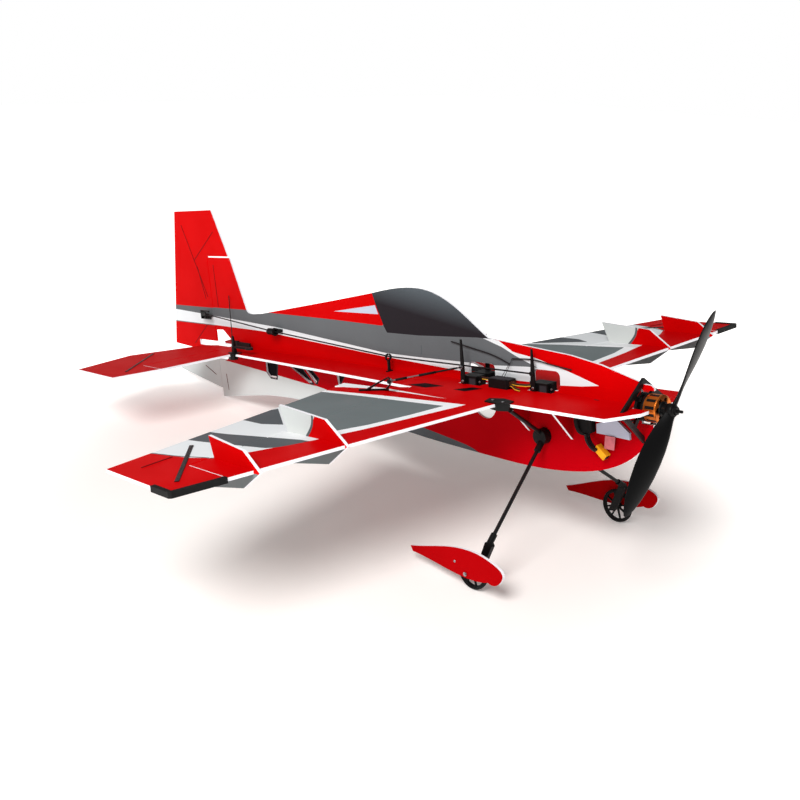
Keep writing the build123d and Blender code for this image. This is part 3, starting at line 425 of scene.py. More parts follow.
def skin_boundary(points, skin, second):
    """Edges in (x, second axis) that belong to only one face of the skin."""
    def corner(i):
        return (round(points[i][0], 2), round(points[i][second], 2))

    count = {}
    for face in skin:
        for a, b in zip(face, face[1:] + face[:1]):
            edge = frozenset((corner(a), corner(b)))
            if len(edge) == 2:
                count[edge] = count.get(edge, 0) + 1
    return [tuple(edge) for edge, uses in count.items() if uses == 1]


def cut_skin(boundary, areas):
    """Triangulate inside the boundary so that the outlines of the areas are edges."""
    corners, edges, index = [], [], {}

    def corner(p):
        if p not in index:
            index[p] = len(corners)
            corners.append(Vector(p))
        return index[p]

    for a, b in boundary:
        edges.append((corner(a), corner(b)))
    for _, outline in areas:
        loop = [corner((round(x, 3), round(y, 3))) for x, y in outline]
        edges += [(loop[i - 1], loop[i]) for i in range(len(loop)) if loop[i - 1] != loop[i]]
    result = delaunay_2d_cdt(corners, edges, [], 0, 1e-4)
    return result[0], result[2]


def foam(node, body, axis, base, upper=(), lower=None, middle=0.0):
    """A foam sheet with its CAD outline, inlaid film areas and bare foam edges.

    upper lists the areas (film, outline) on the top or port face, lower those on the bottom
    or starboard face (the same if None). middle is the sheet's place on its axis.
    """
    lower = upper if lower is None else lower
    second = 3 - axis
    points = cad_points(node)
    skins, walls = split_sheet(points, cad_faces(node), axis, middle)
    keys, vertices, faces, face_slots = ["foam"], [], [], []
    for skin in skins:
        normals = [face_normal(points, face) for face in skin]
        normal = next((n for n in normals if n.length > 0.5), normals[0])
        start = Vector(points[skin[0][0]])
        faces_up = normal[axis] > 0
        areas = upper if faces_up else lower
        boundary = skin_boundary(points, skin, second)
        flat_points, flat_faces = cut_skin(boundary, areas)
        rings = [(key, list(zip(outline, outline[-1:] + outline[:-1])))
                 for key, outline in areas]
        offset = len(vertices)
        for p in flat_points:
            place = [0, 0, 0]
            place[0], place[second] = p[0], p[1]
            place[axis] = start[axis] - ((p[0] - start[0]) * normal[0]
                                         + (p[1] - start[second]) * normal[second]) / normal[axis]
            vertices.append(to_scene(*place))
        for face in flat_faces:
            x = sum(flat_points[i][0] for i in face) / len(face)
            y = sum(flat_points[i][1] for i in face) / len(face)
            if not encloses(boundary, x, y):
                continue
            film = base
            for key, ring in rings:
                if encloses(ring, x, y):
                    film = key
            if film not in keys:
                keys.append(film)
            face = list(face)
            if (axis == FLAT) != faces_up:
                face = face[::-1]
            faces.append([i + offset for i in face])
            face_slots.append(keys.index(film))
    offset = len(vertices)
    vertices += [to_scene(*p) for p in points]
    for face in walls:
        faces.append([i + offset for i in face])
        face_slots.append(0)
    return make("film_" + node, vertices, faces, keys, face_slots, body, (node,))


# ---------------------------------------------------------------- printed film outlines
def strip(start, end, width):
    """A straight line of some width as an outline."""
    dx, dy = end[0] - start[0], end[1] - start[1]
    n = math.hypot(dx, dy)
    ox, oy = -dy / n * width / 2, dx / n * width / 2
    return [(start[0] + ox, start[1] + oy), (end[0] + ox, end[1] + oy),
            (end[0] - ox, end[1] - oy), (start[0] - ox, start[1] - oy)]


def band(points, width):
    """A bent line of some width as an outline."""
    left, right = [], []
    for i, p in enumerate(points):
        a, b = points[max(i - 1, 0)], points[min(i + 1, len(points) - 1)]
        dx, dy = b[0] - a[0], b[1] - a[1]
        n = math.hypot(dx, dy)
        left.append((p[0] - dy / n * width / 2, p[1] + dx / n * width / 2))
        right.append((p[0] + dy / n * width / 2, p[1] - dx / n * width / 2))
    return left + right[::-1]


def mirror(art, sign):
    """Areas drawn in (x, y) for port, moved to the side of the sign."""
    return [(key, [(x, sign * y) for x, y in outline]) for key, outline in art]


# In each area list a later area lies over an earlier one.
# Wing and aileron, (x, y) on the port side
lead_line = smooth_line([(1, 91), (-7, 145), (-15, 203), (-22, 236), (-28, 266), (-40, 302),
                         (-47, 323), (-61, 352)], 4)
WING_ART = [
    ("white", [(-260, 196), *[p for p in lead_line if p[1] >= 200],
               (-80, 364), (-123, 376), (-190, 388)]),
    ("trim_white", [(-240, 131), (-198, 121.5), (-128, 108), (-112, 104.5), (1, 88),
                    *[p for p in lead_line if 92 < p[1] < 240],
                    (-60, 236), (-178, 196), (-240, 196)]),
    ("grey", [(-230, 199), (-214, 134), (-187, 127.5), (-122, 117), (-60, 109.5), (-16, 103.5),
              (-19, 150), (-26, 197), (-37, 232), (-60, 226), (-120, 214), (-176, 196)]),
    ("dark_grey", [(-156, 255), (-187, 258), (-167, 205), (-103, 243), (-126, 254)]),
    ("dark_grey", smooth_line([(-175, 328), (-150, 332), (-133, 330), (-113, 325), (-81, 315),
                               (-45, 304), (-34, 288), (-28, 266)], 3)
     + smooth_line([(-40, 268), (-93, 286), (-141, 301), (-200, 306)], 3)),
    ("white", [(-86, 317), (-44, 304), (-48, 323)]),
    ("dark_grey", band([(-160, 390), (-123, 376), (-96, 368), (-72, 357), (-58, 351)], 2.2)),
    ("trim_white", [(-204.1, 84.6), (-161.6, 80.4), (-129.2, 78), (-35, 79.3),
                    (-122.7, 83.8), (-153.3, 87.4), (-201.1, 100.8)]),
    ("dark_grey", strip((-186, 188), (-171, 267), 1.2)),
    ("trim_white", strip((-57, 376.6), (8, 376.6), 0.8)),
]
ELEVATOR_ART = [("white", strip((-570, 155), (-519, 155), 1.2))]

# Two slanted black patches on the deck, (x, y) on the port side
DECK_ART = [
    ("ink_and_shade", [(-128, 53), (-97, 53.5), (-83, 37.5), (-115, 36.5)]),
    ("ink_and_shade", [(-62, 44.5), (-44, 45), (-34, 26), (-50, 26)]),
]

# Upper keel, (x, z)
stripe_top = [(-760, 51), (-740, 50), (-617, 45), (-451, 38), (-223, 21), (-165, 21),
              (-88, 22), (-40, 23), (9, 26)]
stripe_bottom = [(82, 12), (54, 10), (-7, 9), (-89, 11), (-220, 16), (-494, 30), (-620, 31),
                 (-760, 31.5)]
grey_top = [(-226, 55), (-326, 57), (-471, 58), (-530, 59), (-738, 57), (-760, 57)]
nose_edge = smooth_line([(104, 15), (65, 26), (43, 31), (22, 36), (-13, 41), (-64, 55)], 4)
KEEL_ART = [
    ("side_grey", [*stripe_top, (-64, 26), (-36, 60), (-63, 60), (-217, 60), *grey_top]),
    ("white", [(9, 26), (-40, 23), (-64, 26), (-36, 60), (-60, 60), *nose_edge[::-1],
               (82, 12), (60, 20)]),
    ("white", [*stripe_top, (40, 24), (104, 15), *stripe_bottom]),
    ("side_grey", smooth_line([(-60, 56), (-40, 50), (-6, 36), (24, 26)], 4)
     + [(9, 25.6), (-40, 22.6), (-90, 24)]),
    ("white", nose_edge + [(-30, 51), (-6, 38), (22, 29), (60, 19)]),
    ("lavender", [(-321, 68), (-236, 80), (-231, 69)]),
    ("canopy_top", [(-241, 97), (-232, 75), (-222, 54), (-217, 47), (-160, 47.5), (-63, 52),
                    (-40, 52), (-20, 110), (-240, 120)]),
    ("dark_grey", strip((-156, 36), (-157, 25), 1.6)),
]

# Lower keel, (x, z), with dark borders round its windows
LOWER_KEEL_ART = [
    ("light_grey", [(-650, 10), (-609, -19), (-604, -23), (-497, -30), (-401, -37), (-373, -38),
                    (-340, -42), (-250, -60), (-196, -90), (-650, -110)]),
    ("dark_grey", smooth_line([(-290, -64), (-250, -58), (-176, -65), (-118, -72.6),
                               (-85, -78), (-65, -85.4)], 4) + [(-50, -95), (-300, -95)]),
]
WINDOWS = [
    [(-494, -11), (-494, -30), (-486, -37), (-471, -37), (-465, -11)],
    [(-432, -10), (-413, -10), (-384, -34.5), (-392, -35), (-432, -17)],
    [(-406, -10), (-393, -10), (-370, -26), (-375, -34), (-378, -34)],
    [(-329, -10), (-305, -10), (-325, -33)],
]
BORDER_SCALE, BORDER_SHIFT = 1.16, 1.0   # growth about the window's middle, move forward
for window in WINDOWS:
    mid_x = sum(p[0] for p in window) / len(window)
    mid_z = sum(p[1] for p in window) / len(window)
    LOWER_KEEL_ART.append(("canopy", [
        (mid_x + (x - mid_x) * BORDER_SCALE + BORDER_SHIFT, mid_z + (z - mid_z) * BORDER_SCALE)
        for x, z in window]))

# Rudder, (x, z)
RUDDER_ART = [
    ("side_grey", [(-760, 30), (-760, 58), (-738, 57), (-600, 57.5), (-600, 30)]),
    ("white", [(-760, 51), (-740, 50), (-600, 44.5), (-600, 31), (-760, 31.5)]),
    ("light_grey", [(-760, -22), (-600, -22), (-600, -100), (-760, -100)]),
]

# Fences, (x, z)
INNER_FENCE_ART = [
    ("light_grey", smooth_line([(-100, 40), (-34, 30), (-36, 14), (-48, 0)], 4) + [(-100, 0)]),
    ("dark_grey", band(smooth_line([(-33, 30), (-35, 14), (-47, -1)], 6), 3.0)),
    ("grey", [(-100, -2), (40, -2), (40, -60), (-100, -60)]),
]
OUTER_FENCE_ART = [("grey", [(-100, -1), (40, -1), (40, -60), (-100, -60)])]

# Upward-facing sheets take the red copy toned for the light from above: painted shade.
foam("fuselage_deck", "airframe", FLAT, "top_red_painted_shade", mirror(DECK_ART, 1) + mirror(DECK_ART, -1), [])
foam("keel_upper", "airframe", UPRIGHT, "red", KEEL_ART)
# The lower keel's base film is the darkened red: painted shade.
foam("keel_lower", "airframe", UPRIGHT, "dark_red_painted_shade", LOWER_KEEL_ART)
for side, sign in SIDES:
    wing = mirror(WING_ART, sign)
    foam("wing_panel_" + side, "airframe", FLAT, "top_red_painted_shade", wing)
    foam("aileron_" + side, "aileron_" + side[0], FLAT, "top_red_painted_shade", wing)
    foam("elevator_" + side, "elevators", FLAT, "top_red_painted_shade", mirror(ELEVATOR_ART, sign))
    foam("inner_fence_" + side, "airframe", UPRIGHT, "red", INNER_FENCE_ART,
         middle=sign * INNER_FENCE_Y)
    foam("outer_fence_" + side, "airframe", UPRIGHT, "red", OUTER_FENCE_ART,
         middle=sign * OUTER_FENCE_Y)
    # The wheel pants take the darkened red: painted shade.
    foam("wheel_pant_" + side, "airframe", UPRIGHT, "spat_red_painted_shade", middle=sign * PANT_Y)
foam("stabilizer", "airframe", FLAT, "top_red_painted_shade")
foam("rudder", "rudder_body", UPRIGHT, "red", RUDDER_ART)

# ---------------------------------------------------------------- CAD pieces that stay
KEPT = {
    "carbon": """wing_spar motor_mount gear_struts gear_braces tail_brace_rods elevator_joiner
        rudder_pushrod elevator_pushrod""",
    "black": """motor_stator rudder_servo elevator_servo aileron_servo_right aileron_servo_left
        gear_hub gear_root_brackets axle_brackets tail_brackets pushrod_guides elevator_horn
        rudder_horn rudder_servo_arm elevator_servo_arm aileron_servo_arm_right
        aileron_servo_arm_left receiver""",
    "steel": "motor_mount_screws wheel_axles aileron_pushrod_right aileron_pushrod_left",
    "rubber": "tip_bumper_right tip_bumper_left speed_controller",
    "wire_dark": "power_lead",
}
for key, nodes in KEPT.items():
    for node in nodes.split():
        NODES[node].data.materials.clear()
        NODES[node].data.materials.append(MATERIALS[key])


# ---------------------------------------------------------------- stiffeners, window plates of painted shade, fillets
# Stiffener faces across x take the darkened red: painted shade.
def stiffener_material(middle, normal):
    if middle.x > 99:
        return "lavender"
    return "dark_red_painted_shade" if abs(normal.x) > 0.7 else "foam"


paint("foam_stiffeners", "airframe", ["dark_red_painted_shade", "lavender", "foam"], stiffener_material)

# Dark plates in the windows of the lower keel, painted shade for the shaded port side seen
# through them, (x, z)
WINDOW_SHADE_PLATES = [
    [(-500, -12), (-500, -28), (-490, -35), (-474, -35), (-468, -12)],
    [(-430, -12), (-413, -12), (-388, -33), (-394, -33), (-430, -18)],
    [(-404, -12), (-393, -12), (-373, -26), (-377, -32)],
    [(-327, -11), (-307, -11), (-325, -30)],
]
for i, outline in enumerate(WINDOW_SHADE_PLATES):
    plate(f"window_shade_plate_{i}", outline, UPRIGHT, 0.9, 1.3, "ink_and_shade", "airframe", "ink_and_shade")

# White fillets at the aileron roots, (x, y) on the port side
FILLET = [(-127, 80.5), (-161.6, 80.4), (-204.1, 84.6), (-201.1, 100.8), (-184, 98.5)]
for side, sign in SIDES:
    plate("aileron_fillet_" + side, [(x, sign * y) for x, y in FILLET], FLAT,
          -HALF_SHEET, HALF_SHEET + 0.02, "trim_white", "aileron_" + side[0], "foam")
box("tail_arm", (-539, -8, 7.4), (19, 1.3, 3.9), "black", bevel=0.8)
box("tail_arm_root", (-556, -8, 7.4), (5, 1.8, 5.2), "black", bevel=0.8)

# ---------------------------------------------------------------- propeller
PROP_X = 186.5
PROP_TURN = math.radians(47.0)           # angle of the first blade up from port
SECTION_POINTS = 20
BLADE = [                                # radius, chord, thickness, blade angle in degrees
    (3.5, 11.0, 6.0, 30), (9, 12.0, 5.0, 36), (16, 15.0, 3.9, 36), (26, 19.5, 3.0, 31),
    (38, 23.5, 2.5, 26), (52, 26.0, 2.1, 21.5), (66, 26.5, 1.9, 18), (80, 24.5, 1.7, 15),
    (92, 20.5, 1.4, 13), (102, 15.0, 1.1, 12), (109, 9.0, 0.8, 11), (113.4, 3.0, 0.5, 11),
]


def blade_section(station, sign):
    """The vertices of one cambered section; sign picks the blade."""
    radius, chord, thickness, angle = station
    twist = math.radians(angle)
    outward = Vector((0, math.cos(PROP_TURN), math.sin(PROP_TURN))) * sign
    turning = Vector((0, -math.sin(PROP_TURN), math.cos(PROP_TURN))) * sign
    chordwise = turning * math.cos(twist) + Vector((1, 0, 0)) * math.sin(twist)
    normal = outward.cross(chordwise)
    if normal.x < 0:
        normal = -normal
    section = []
    for j in range(SECTION_POINTS):
        a = 2 * math.pi * j / SECTION_POINTS
        along = math.cos(a)
        lift = math.sin(a) * (0.8 + 0.35 * along) * thickness / 2
        camber = (1 - along * along) * chord * 0.045
        section.append(to_scene(*(Vector((PROP_X, 0, 0)) + outward * radius
                                  + chordwise * (along * chord / 2) + normal * (lift + camber))))
    return section


vertices, faces = [], []
for sign in (1, -1):
    base = len(vertices)
    for station in BLADE:
        vertices += blade_section(station, sign)
    faces += ring_faces(len(BLADE), SECTION_POINTS, base)
    faces.append([base + (len(BLADE) - 1) * SECTION_POINTS + j for j in range(SECTION_POINTS)])
make("propeller_blades", vertices, faces, ["blade"], None, "spinner", ("propeller",),
     smooth=True)
lathe("propeller_hub", (PROP_X, 0, 0), (1, 0, 0),
      [(-3.6, 1.6), (-3.6, 6.2), (-3.0, 6.7), (2.8, 6.7), (3.5, 6.0), (3.5, 1.6)],
      "blade", "spinner")
lathe("prop_washer", (PROP_X + 3.5, 0, 0), (1, 0, 0),
      [(0, 1.6), (0, 5.0), (0.6, 5.0), (0.6, 1.6)], "black", "spinner")

# ---------------------------------------------------------------- motor
# The front of the bell is the foremost point near its outer radius.
BELL_FRONT = max(p[0] for p in cad_points("motor_bell") if 12.4 < math.hypot(p[1], p[2]) < 14.1)
BELL_RADIUS = 14.0
WINDING_X, WINDING_RADIUS = 166.0, 10.9
COILS = 12


def bell_material(middle, normal):
    inner = math.hypot(middle.y, middle.z) < 7 and middle.x > BELL_FRONT - 3
    return "black" if middle.x > BELL_FRONT + 0.4 or inner else "copper"


paint("motor_bell", "spinner", ["copper", "black"], bell_material)
lathe("bell_boss", (BELL_FRONT, 0, 0), (1, 0, 0),
      [(0.9, 1.6), (0.9, 7.6), (0.1, 7.9), (-0.5, 7.9)], "black", "spinner", sides=32)
for j in range(COILS):
    a = math.radians(30 * j + 15)
    y, z = math.cos(a), math.sin(a)
    block(f"bell_slot_{j:02d}", (BELL_FRONT - 6.5, BELL_RADIUS * y, BELL_RADIUS * z),
          (5.0, 0, 0), (0, -z * 1.5, y * 1.5), (0, y * 0.12, z * 0.12),
          "black", "spinner", bevel=0.05)
for j in range(COILS):
    a = math.radians(30 * j)
    lathe(f"winding_{j:02d}",
          (WINDING_X, WINDING_RADIUS * math.cos(a), WINDING_RADIUS * math.sin(a)), (1, 0, 0),
          [(-4.0, 0.2), (-3.6, 1.2), (0, 1.5), (3.6, 1.2), (4.0, 0.2)], "winding", sides=10)
lathe("bell_rim", (161.6, 0, 0), (1, 0, 0),
      [(-0.6, 12.7), (-0.6, 14.1), (1.6, 14.25), (2.2, 14.05)], "black", "spinner")

# ---------------------------------------------------------------- wheels
TYRE_DEPTH, TYRE_HALF_WIDTH = 2.1, 2.9   # half-sizes of the tyre's round section
SPOKES = 8
SPOKE_MIDDLE, SPOKE_HALF = 9.8, (0.95, 1.3, 6.6)   # radius; half width, thickness, length


def tyre_profile():
    """A round section, nearly flat where it sits on the rim."""
    profile = []
    for j in range(17):
        a = 2 * math.pi * j / 16
        radius = TYRE_RADIUS - TYRE_DEPTH + TYRE_DEPTH * math.cos(a)
        if math.cos(a) <= -0.2:
            radius = 17.5 + 0.2 * math.cos(a)
        profile.append((TYRE_HALF_WIDTH * math.sin(a), radius))
    return profile


def wheel(side, sign):
    centre = (WHEEL_X, sign * WHEEL_Y, WHEEL_Z)
    body = "wheel_" + side[0]
    lathe("tyre_" + side, centre, (0, 1, 0), tyre_profile(), "rubber", body, sides=64,
          replaced=("wheel_" + side,))
    lathe("rim_" + side, centre, (0, 1, 0),
          [(-2.0, 17.6), (-2.0, 16.2), (-0.8, 15.8), (0.8, 15.8), (2.0, 16.2), (2.0, 17.6)],
          "black", body, sides=64)
    lathe("wheel_hub_" + side, centre, (0, 1, 0),
          [(-3.7, 1.08), (-3.7, 3.2), (-3.2, 3.7), (3.2, 3.7), (3.7, 3.2), (3.7, 1.08)],
          "black", body)
    width, thickness, length = SPOKE_HALF
    for j in range(SPOKES):
        a = math.radians(45 * j + 12)
        x, z = math.cos(a), math.sin(a)
        block(f"spoke_{side}_{j}",
              (centre[0] + x * SPOKE_MIDDLE, centre[1], centre[2] + z * SPOKE_MIDDLE),
              (-z * width, 0, x * width), (0, thickness, 0), (x * length, 0, z * length),
              "black", body, bevel=0.25, taper=0.8)


for side, sign in SIDES:
    wheel(side, sign)


# ---------------------------------------------------------------- strips on the surfaces
SUNK = 0.1                               # extra half thickness that sinks a strip in


def flat_strip(name, start, end, width, body, key="carbon", thickness=0.5):
    """A strip on top of a flat sheet, between two (x, y) points."""
    along = Vector((end[0] - start[0], end[1] - start[1], 0)) / 2
    across = Vector((-along.y, along.x, 0)).normalized() * width / 2
    centre = ((start[0] + end[0]) / 2, (start[1] + end[1]) / 2, HALF_SHEET + thickness / 2)
    block(name, centre, along, across, (0, 0, thickness / 2 + SUNK), key, body, bevel=0.1)


def upright_strips(name, start, end, body, width=0.9, thickness=0.3):
    """A line on both faces of an upright sheet, between two (x, z) points."""
    along = Vector((end[0] - start[0], 0, end[1] - start[1])) / 2
    across = Vector((-along.z, 0, along.x)).normalized() * width / 2
    for letter, sign in (("p", 1), ("s", -1)):
        centre = ((start[0] + end[0]) / 2, sign * (HALF_SHEET + thickness / 2),
                  (start[1] + end[1]) / 2)
        block(f"{name}_{letter}", centre, along, across, (0, thickness / 2 + SUNK, 0),
              "line", body, bevel=0.05)


# ---------------------------------------------------------------- aileron horns and rods
# name, points (x, y on the port side, z), radius, material, sides
HORN_PARTS = [
    ("horn_base_", [(-153.5, 103.4, 2.4), (-124.5, 84, 2.4)], 1.5, "black", 8),
    ("horn_pin_", [(-106.5, 97, 16), (-107.8, 91.4, 16)], 0.9, "steel", 10),
    ("horn_eye_", [(-106.3, 98.8, 16.4), (-106.5, 97.2, 16.4)], 2.6, "black", 14),
    ("horn_long_", [(-146, 99, 2.4), (-125, 98.5, 13), (-106.5, 98, 21)],
     [1.5, 1.0, 0.9], "black", 8),
    ("horn_short_", [(-127, 86, 2.4), (-104.5, 98.2, 13.2), (-105.5, 98, 21)],
     [1.5, 0.9, 0.9], "black", 8),
]
ROD_SLEEVES = [(0.06, 0.36, 1.05), (0.36, 0.6, 1.45), (0.77, 0.93, 1.4)]  # rod shares, radius

for side, sign in SIDES:
    aileron = "aileron_" + side[0]
    for name, points, radius, key, sides in HORN_PARTS:
        stands_in = name == "horn_long_"     # this part takes the place of the CAD horn
        tube(name + side, [(x, sign * y, z) for x, y, z in points], radius, key, aileron, sides,
             replaced=("aileron_horn_" + side,) if stands_in else ())
    rod_front, rod_rear = Vector((-70, sign * 22.4, 21.5)), Vector((-109, sign * 93.6, 16))
    for j, (start, end, radius) in enumerate(ROD_SLEEVES):
        tube(f"rod_sleeve_{side}_{j}",
             [tuple(rod_front.lerp(rod_rear, start)), tuple(rod_front.lerp(rod_rear, end))],
             radius, "rubber", "aileron_rod_" + side[0])
    flat_strip("tip_strip_" + side, (-115, sign * 341), (-22, sign * 409), 4.0, aileron,
               thickness=0.8)
    flat_strip("aileron_strip_" + side, (-89, sign * 407), (-96, sign * 372), 1.0, aileron,
               "line")
    flat_strip("elevator_strip_" + side, (-646, sign * 99), (-549, sign * 192), 3.0, "elevators")

KEEL_STRIPS = [                          # start and end in (x, z), body
    ((-689, 183), (-634, 74), "rudder_body"), ((-598, 172), (-662, 129), "rudder_body"),
    ((-608, 123), (-607, 60), "airframe"), ((-646, 30), (-690, -2), "rudder_body"),
    ((-666, -36), (-637, -48), "rudder_body"), ((-607, -44), (-605, -69), "airframe"),
    ((-655, 120), (-640, 70), "rudder_body"),
]
for i, (start, end, body) in enumerate(KEEL_STRIPS):
    upright_strips(f"keel_strip_{i}", start, end, body)

# Rudder horn: name, middle x and z, half-size in x and z
for name, x, z, half_x, half_z in (("foot", -632, 43.45, 14, 2.35), ("top", -634, 52.8, 12, 1.3),
                                   ("web", -639.5, 47.5, 6.5, 6.4)):
    box("rudder_horn_" + name, (x, -10.2, z), (half_x, 1.1, half_z), "black", "rudder_body",
        bevel=0.4)

# ---------------------------------------------------------------- aerials and leads
STEPS = 6                                # line steps between two points of a wire
tube("aerial_rear", [(-14, -3.6, 27), (-40, -3.6, 35), (-80, -3.6, 41.5), (-103, -3.6, 45)],
     [0.7] * (3 * STEPS) + [0.5], "wire_dark", replaced=("receiver_antennas",),
     steps=STEPS)
AERIALS = [                              # name, radius, points
    ("aerial_front", 0.7, [(-10, -3.6, 33), (20, -3.6, 34.5), (48, -3.6, 31), (71, -3.6, 28.5)]),
    ("aerial_root_a", 0.3, [(-14, -3.6, 27.5), (-18, -6, 20), (-22, -9, 12.5)]),
    ("aerial_root_b", 0.3, [(-10, -3.6, 33), (-13, -6, 24), (-18, -9, 12.5)]),
]
for name, radius, points in AERIALS:
    tube(name, points, radius, "wire_dark", steps=STEPS)

WIRE_GAP, WIRE_RADIUS = 1.1, 0.55
LEADS = [                                # name, points of the middle one of three wires
    ("lead_aileron", [(-55, -8, 6), (-50, -11, 9), (-42, -14, 10), (-35, -11, 9), (-33, -10, 8)]),
    ("lead_rudder", [(17, -5, 7), (12, -9, 7), (4, -14, 8), (-4, -13, 8.5), (-8, -11, 8)]),
    ("lead_esc", [(-7, -13, 6), (0, -17, 7), (6, -19, 5), (12, -18, 3.8)]),
    ("lead_elevator", [(-133, 9, 6), (-110, 12, 5), (-85, 24, 4), (-45, 24, 4.2),
                       (-20, 12, 6), (-8, 6, 6)]),
]
for name, points in LEADS:
    for i, key in enumerate(("wire_yellow", "wire_dark", "wire_brown")):
        tube(f"{name}_{i}", [(x, y, z + (i - 1) * WIRE_GAP) for x, y, z in points],
             WIRE_RADIUS, key, sides=8, steps=STEPS)

# ---------------------------------------------------------------- receiver and servos
box("receiver_case", (-21, -9.6, 11.8), (13.2, 6.4, 0.4), "canopy")
box("receiver_plug", (-8, -10.5, 8.0), (3.0, 6.0, 4.2), "black", bevel=0.4)
for i in range(4):
    box(f"plug_pin_{i}", (-4.6, -14.5 + 2.6 * i, 8.0), (0.5, 0.7, 2.0), "wire_brown", bevel=0.1)

# name, x of the shaft, sign of y, distances of label, screws and arm from y = 0, arm's body
SERVOS = [
    ("aileron_right", -70, -1, 17.1, 13.6, 20.8, "aileron_arm_r"),
    ("aileron_left", -70, 1, 17.1, 13.6, 20.8, "aileron_arm_l"),
    ("elevator", -150, 1, 17.1, 13.6, 20.8, "elevator_arm"),
    ("rudder", 24, -1, 7.3, 3.1, 10.4, "rudder_arm"),
]
for name, x, sign, label_y, screw_y, _, _ in SERVOS:
    box("servo_label_" + name, (x + 11.0, sign * label_y, 5.0), (4.6, 0.16, 3.6), "canopy",
        bevel=0.1)
    for dx in (-8.3, 19.3):
        lathe(f"servo_screw_{name}_{int(dx)}", (x + dx, sign * screw_y, 5.0), (0, sign, 0),
              [(0, 0.2), (0, 1.3), (0.9, 1.3), (1.1, 0.9), (0.8, 0.3)], "steel", sides=16)
for name, x, sign, _, _, arm_y, arm_body in SERVOS:
    lathe("arm_screw_" + name, (x, sign * arm_y, 5.5), (0, sign, 0),
          [(0, 0.2), (0, 1.6), (0.7, 1.6), (1.0, 1.1), (0.7, 0.3)], "steel", arm_body, sides=16)

# ---------------------------------------------------------------- motor wiring and connector
MOTOR_WIRING = [                         # name, radius, material, points
    ("motor_lead_a", 1.0, "wire_dark", [(96, -6, -4), (104, -9, 0), (118, -9, -4),
                                        (136, -8, -10), (152, -8, -9), (156, -7, -6)]),
    ("motor_lead_b", 1.0, "wire_dark", [(96, -6, -6), (106, -10, -6), (122, -11, -10),
                                        (140, -10, -14), (153, -9, -12), (156, -7, -8)]),
    ("motor_lead_c", 1.0, "wire_dark", [(94, -6, -4), (102, -7, 1), (116, -6, -1),
                                        (134, -6, -5), (150, -6, -5), (156, -5, -5)]),
    ("esc_strap", 2.6, "rubber", [(84, -3, -6), (82, -8, -8), (80.5, -11, -20),
                                  (83, -10, -32), (88, -5, -36)]),
]
for name, radius, key, points in MOTOR_WIRING:
    tube(name, points, radius, key, steps=STEPS)
connector = block("connector_shell", (109.6, -8, -51.2), (5.9, 0, -4.9), (0, 3.9, 0),
                  (2.3, 0, 2.9), "yellow", bevel=0.8)
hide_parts("power_connector")
block("connector_socket", (115.4, -8, -56.0), (0.5, 0, -0.42), (0, 2.7, 0), (1.3, 0, 1.6),
      "black", bevel=0.2)
block("hook_pad", (118, -5.9, -41), (6, 0, 0), (0, 0.5, 0), (1, 0, 7), "pink", bevel=0.2)

# ---------------------------------------------------------------- small screws
for side, sign in SIDES:
    lathe("pant_screw_" + side, (14, sign * (PANT_Y + HALF_SHEET), -152), (0, sign, 0),
          [(0, 0.2), (0, 1.5), (0.4, 1.4), (0.6, 0.2)], "steel", sides=16)
    for i, (x, y) in enumerate(((15, 63), (31, 65))):
        lathe(f"clip_screw_{side}_{i}", (x, sign * y, 3.0), (0, 0, 1),
              [(0, 0.2), (0, 1.7), (0.7, 1.6), (0.9, 0.5), (0.5, 0.2)], "steel", sides=16)


# ---------------------------------------------------------------- studio, in metres
def build_floor():
    """A pale floor that glows more with distance, so that it fades into the background."""
    bpy.ops.mesh.primitive_plane_add(size=14, location=(0, 0, -0.0002))
    floor = bpy.context.object
    floor.name = "floor"
    pale = material("studio_floor", (253, 250, 247), rough=0.6, var=0.01, scale=1.5,
                    bump=0.02, bump_scale=40, specular=0.25)
    floor.data.materials.append(pale)
    tree = pale.node_tree
    place = add_node(tree, "TexCoord").outputs["Object"]
    # The glow grows from a middle set off to the front and near side of the aeroplane, which
    # lightens the floor where the tail's shadow falls and leaves the shadow under the body deep:
    # painted light.
    from_middle = add_node(tree, "VectorMath", {0: place, 1: (0.1, -0.12, 0)},
                           operation="SUBTRACT").outputs[0]
    distance = add_node(tree, "VectorMath", {0: from_middle}, operation="LENGTH")
    glow = map_range(tree, distance.outputs["Value"], source=(0.28, 0.8), target=(0.1, 1.0),
                     interpolation_type="SMOOTHSTEP")
    shader = tree.nodes["Principled BSDF"]
    feed(tree, shader.inputs["Emission Color"], (1.0, 0.985, 0.97, 1))
    feed(tree, shader.inputs["Emission Strength"], glow)
    return floor


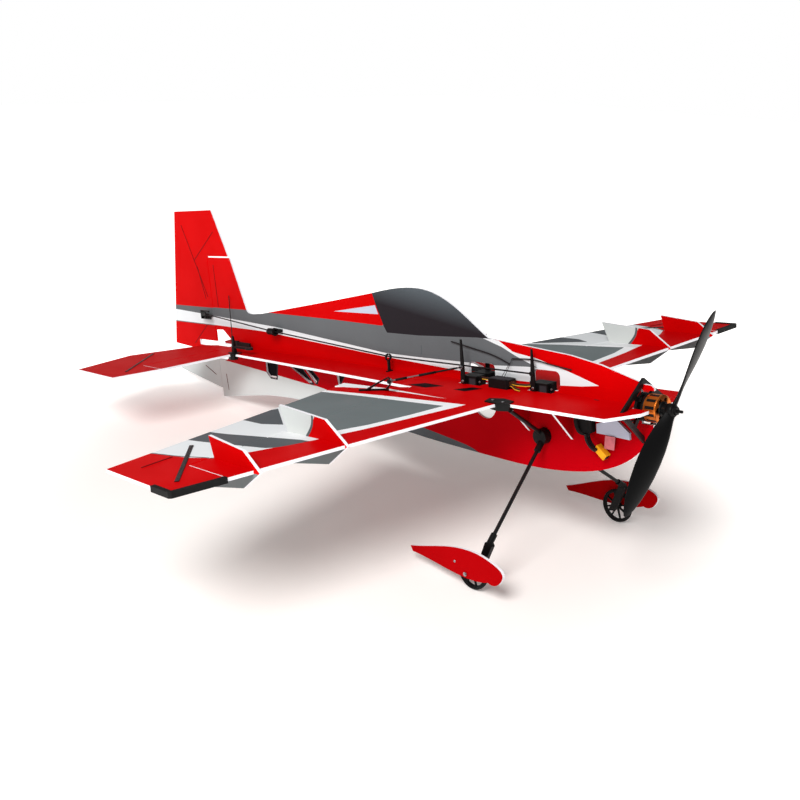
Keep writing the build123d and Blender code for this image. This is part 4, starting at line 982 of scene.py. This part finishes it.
def build_world(scene):
    """Pure white to the camera, a dim fill light to everything else."""
    scene.world = scene.world or bpy.data.worlds.new("studio")
    scene.world.use_nodes = True
    tree = scene.world.node_tree
    fill = tree.nodes["Background"]
    feed(tree, fill.inputs["Color"], (1.0, 0.995, 0.99, 1))
    feed(tree, fill.inputs["Strength"], 0.31)
    white = add_node(tree, "Background", {"Color": (1, 1, 1, 1), "Strength": 1.0})
    ray = add_node(tree, "LightPath").outputs["Is Camera Ray"]
    mixed = add_node(tree, "MixShader", {0: ray, 1: fill.outputs[0], 2: white.outputs[0]})
    feed(tree, tree.nodes["World Output"].inputs["Surface"], mixed.outputs[0])


def area_light(name, location, target, size, power, colour=(1, 1, 1)):
    data = bpy.data.lights.new(name, "AREA")
    data.shape, data.size, data.energy, data.color = "DISK", size, power, colour
    light = bpy.data.objects.new(name, data)
    bpy.context.scene.collection.objects.link(light)
    light.location = location
    aim = Vector(target) - Vector(location)
    light.rotation_euler = aim.to_track_quat("-Z", "Y").to_euler()
    return light


# Camera pose from aeroplane axes to camera axes (right, down, forward)
CAMERA_TURN = (1.709483867062976, 0.7048448701713116, -0.6693381007120398)  # axis x radians
CAMERA_SHIFT = (132.5572209579448, -12.01302828841265, 1083.435538680688)   # mm
SENSOR_WIDTH, FOCAL_LENGTH = 36, 45.128385                                  # mm


def build_camera(scene):
    turn = Vector(CAMERA_TURN)
    rotation = Matrix.Rotation(turn.length, 3, turn.normalized())
    location = to_scene(*-(rotation.transposed() @ Vector(CAMERA_SHIFT)))
    right, down, forward = [direction(*rotation[i]) for i in range(3)]
    data = bpy.data.cameras.new("photo_camera")
    data.sensor_width = SENSOR_WIDTH
    data.lens = FOCAL_LENGTH
    data.clip_start = 0.05
    camera = bpy.data.objects.new("photo_camera", data)
    scene.collection.objects.link(camera)
    rows = [(right[i], -down[i], -forward[i], location[i]) for i in range(3)]
    camera.matrix_world = Matrix((*rows, (0, 0, 0, 1)))
    scene.camera = camera


scene = bpy.context.scene
floor = build_floor()
build_world(scene)
key_light = area_light("key", location=(0.95, -1.75, 1.85), target=(0, 0, 0.1), size=1.1,
                       power=64, colour=(1.0, 0.985, 0.97))
front_light = area_light("front", location=(0.0, -2.8, 0.8), target=(-0.15, 0, 0.2), size=1.4,
                         power=4)
build_camera(scene)
scene.view_settings.view_transform = "Standard"
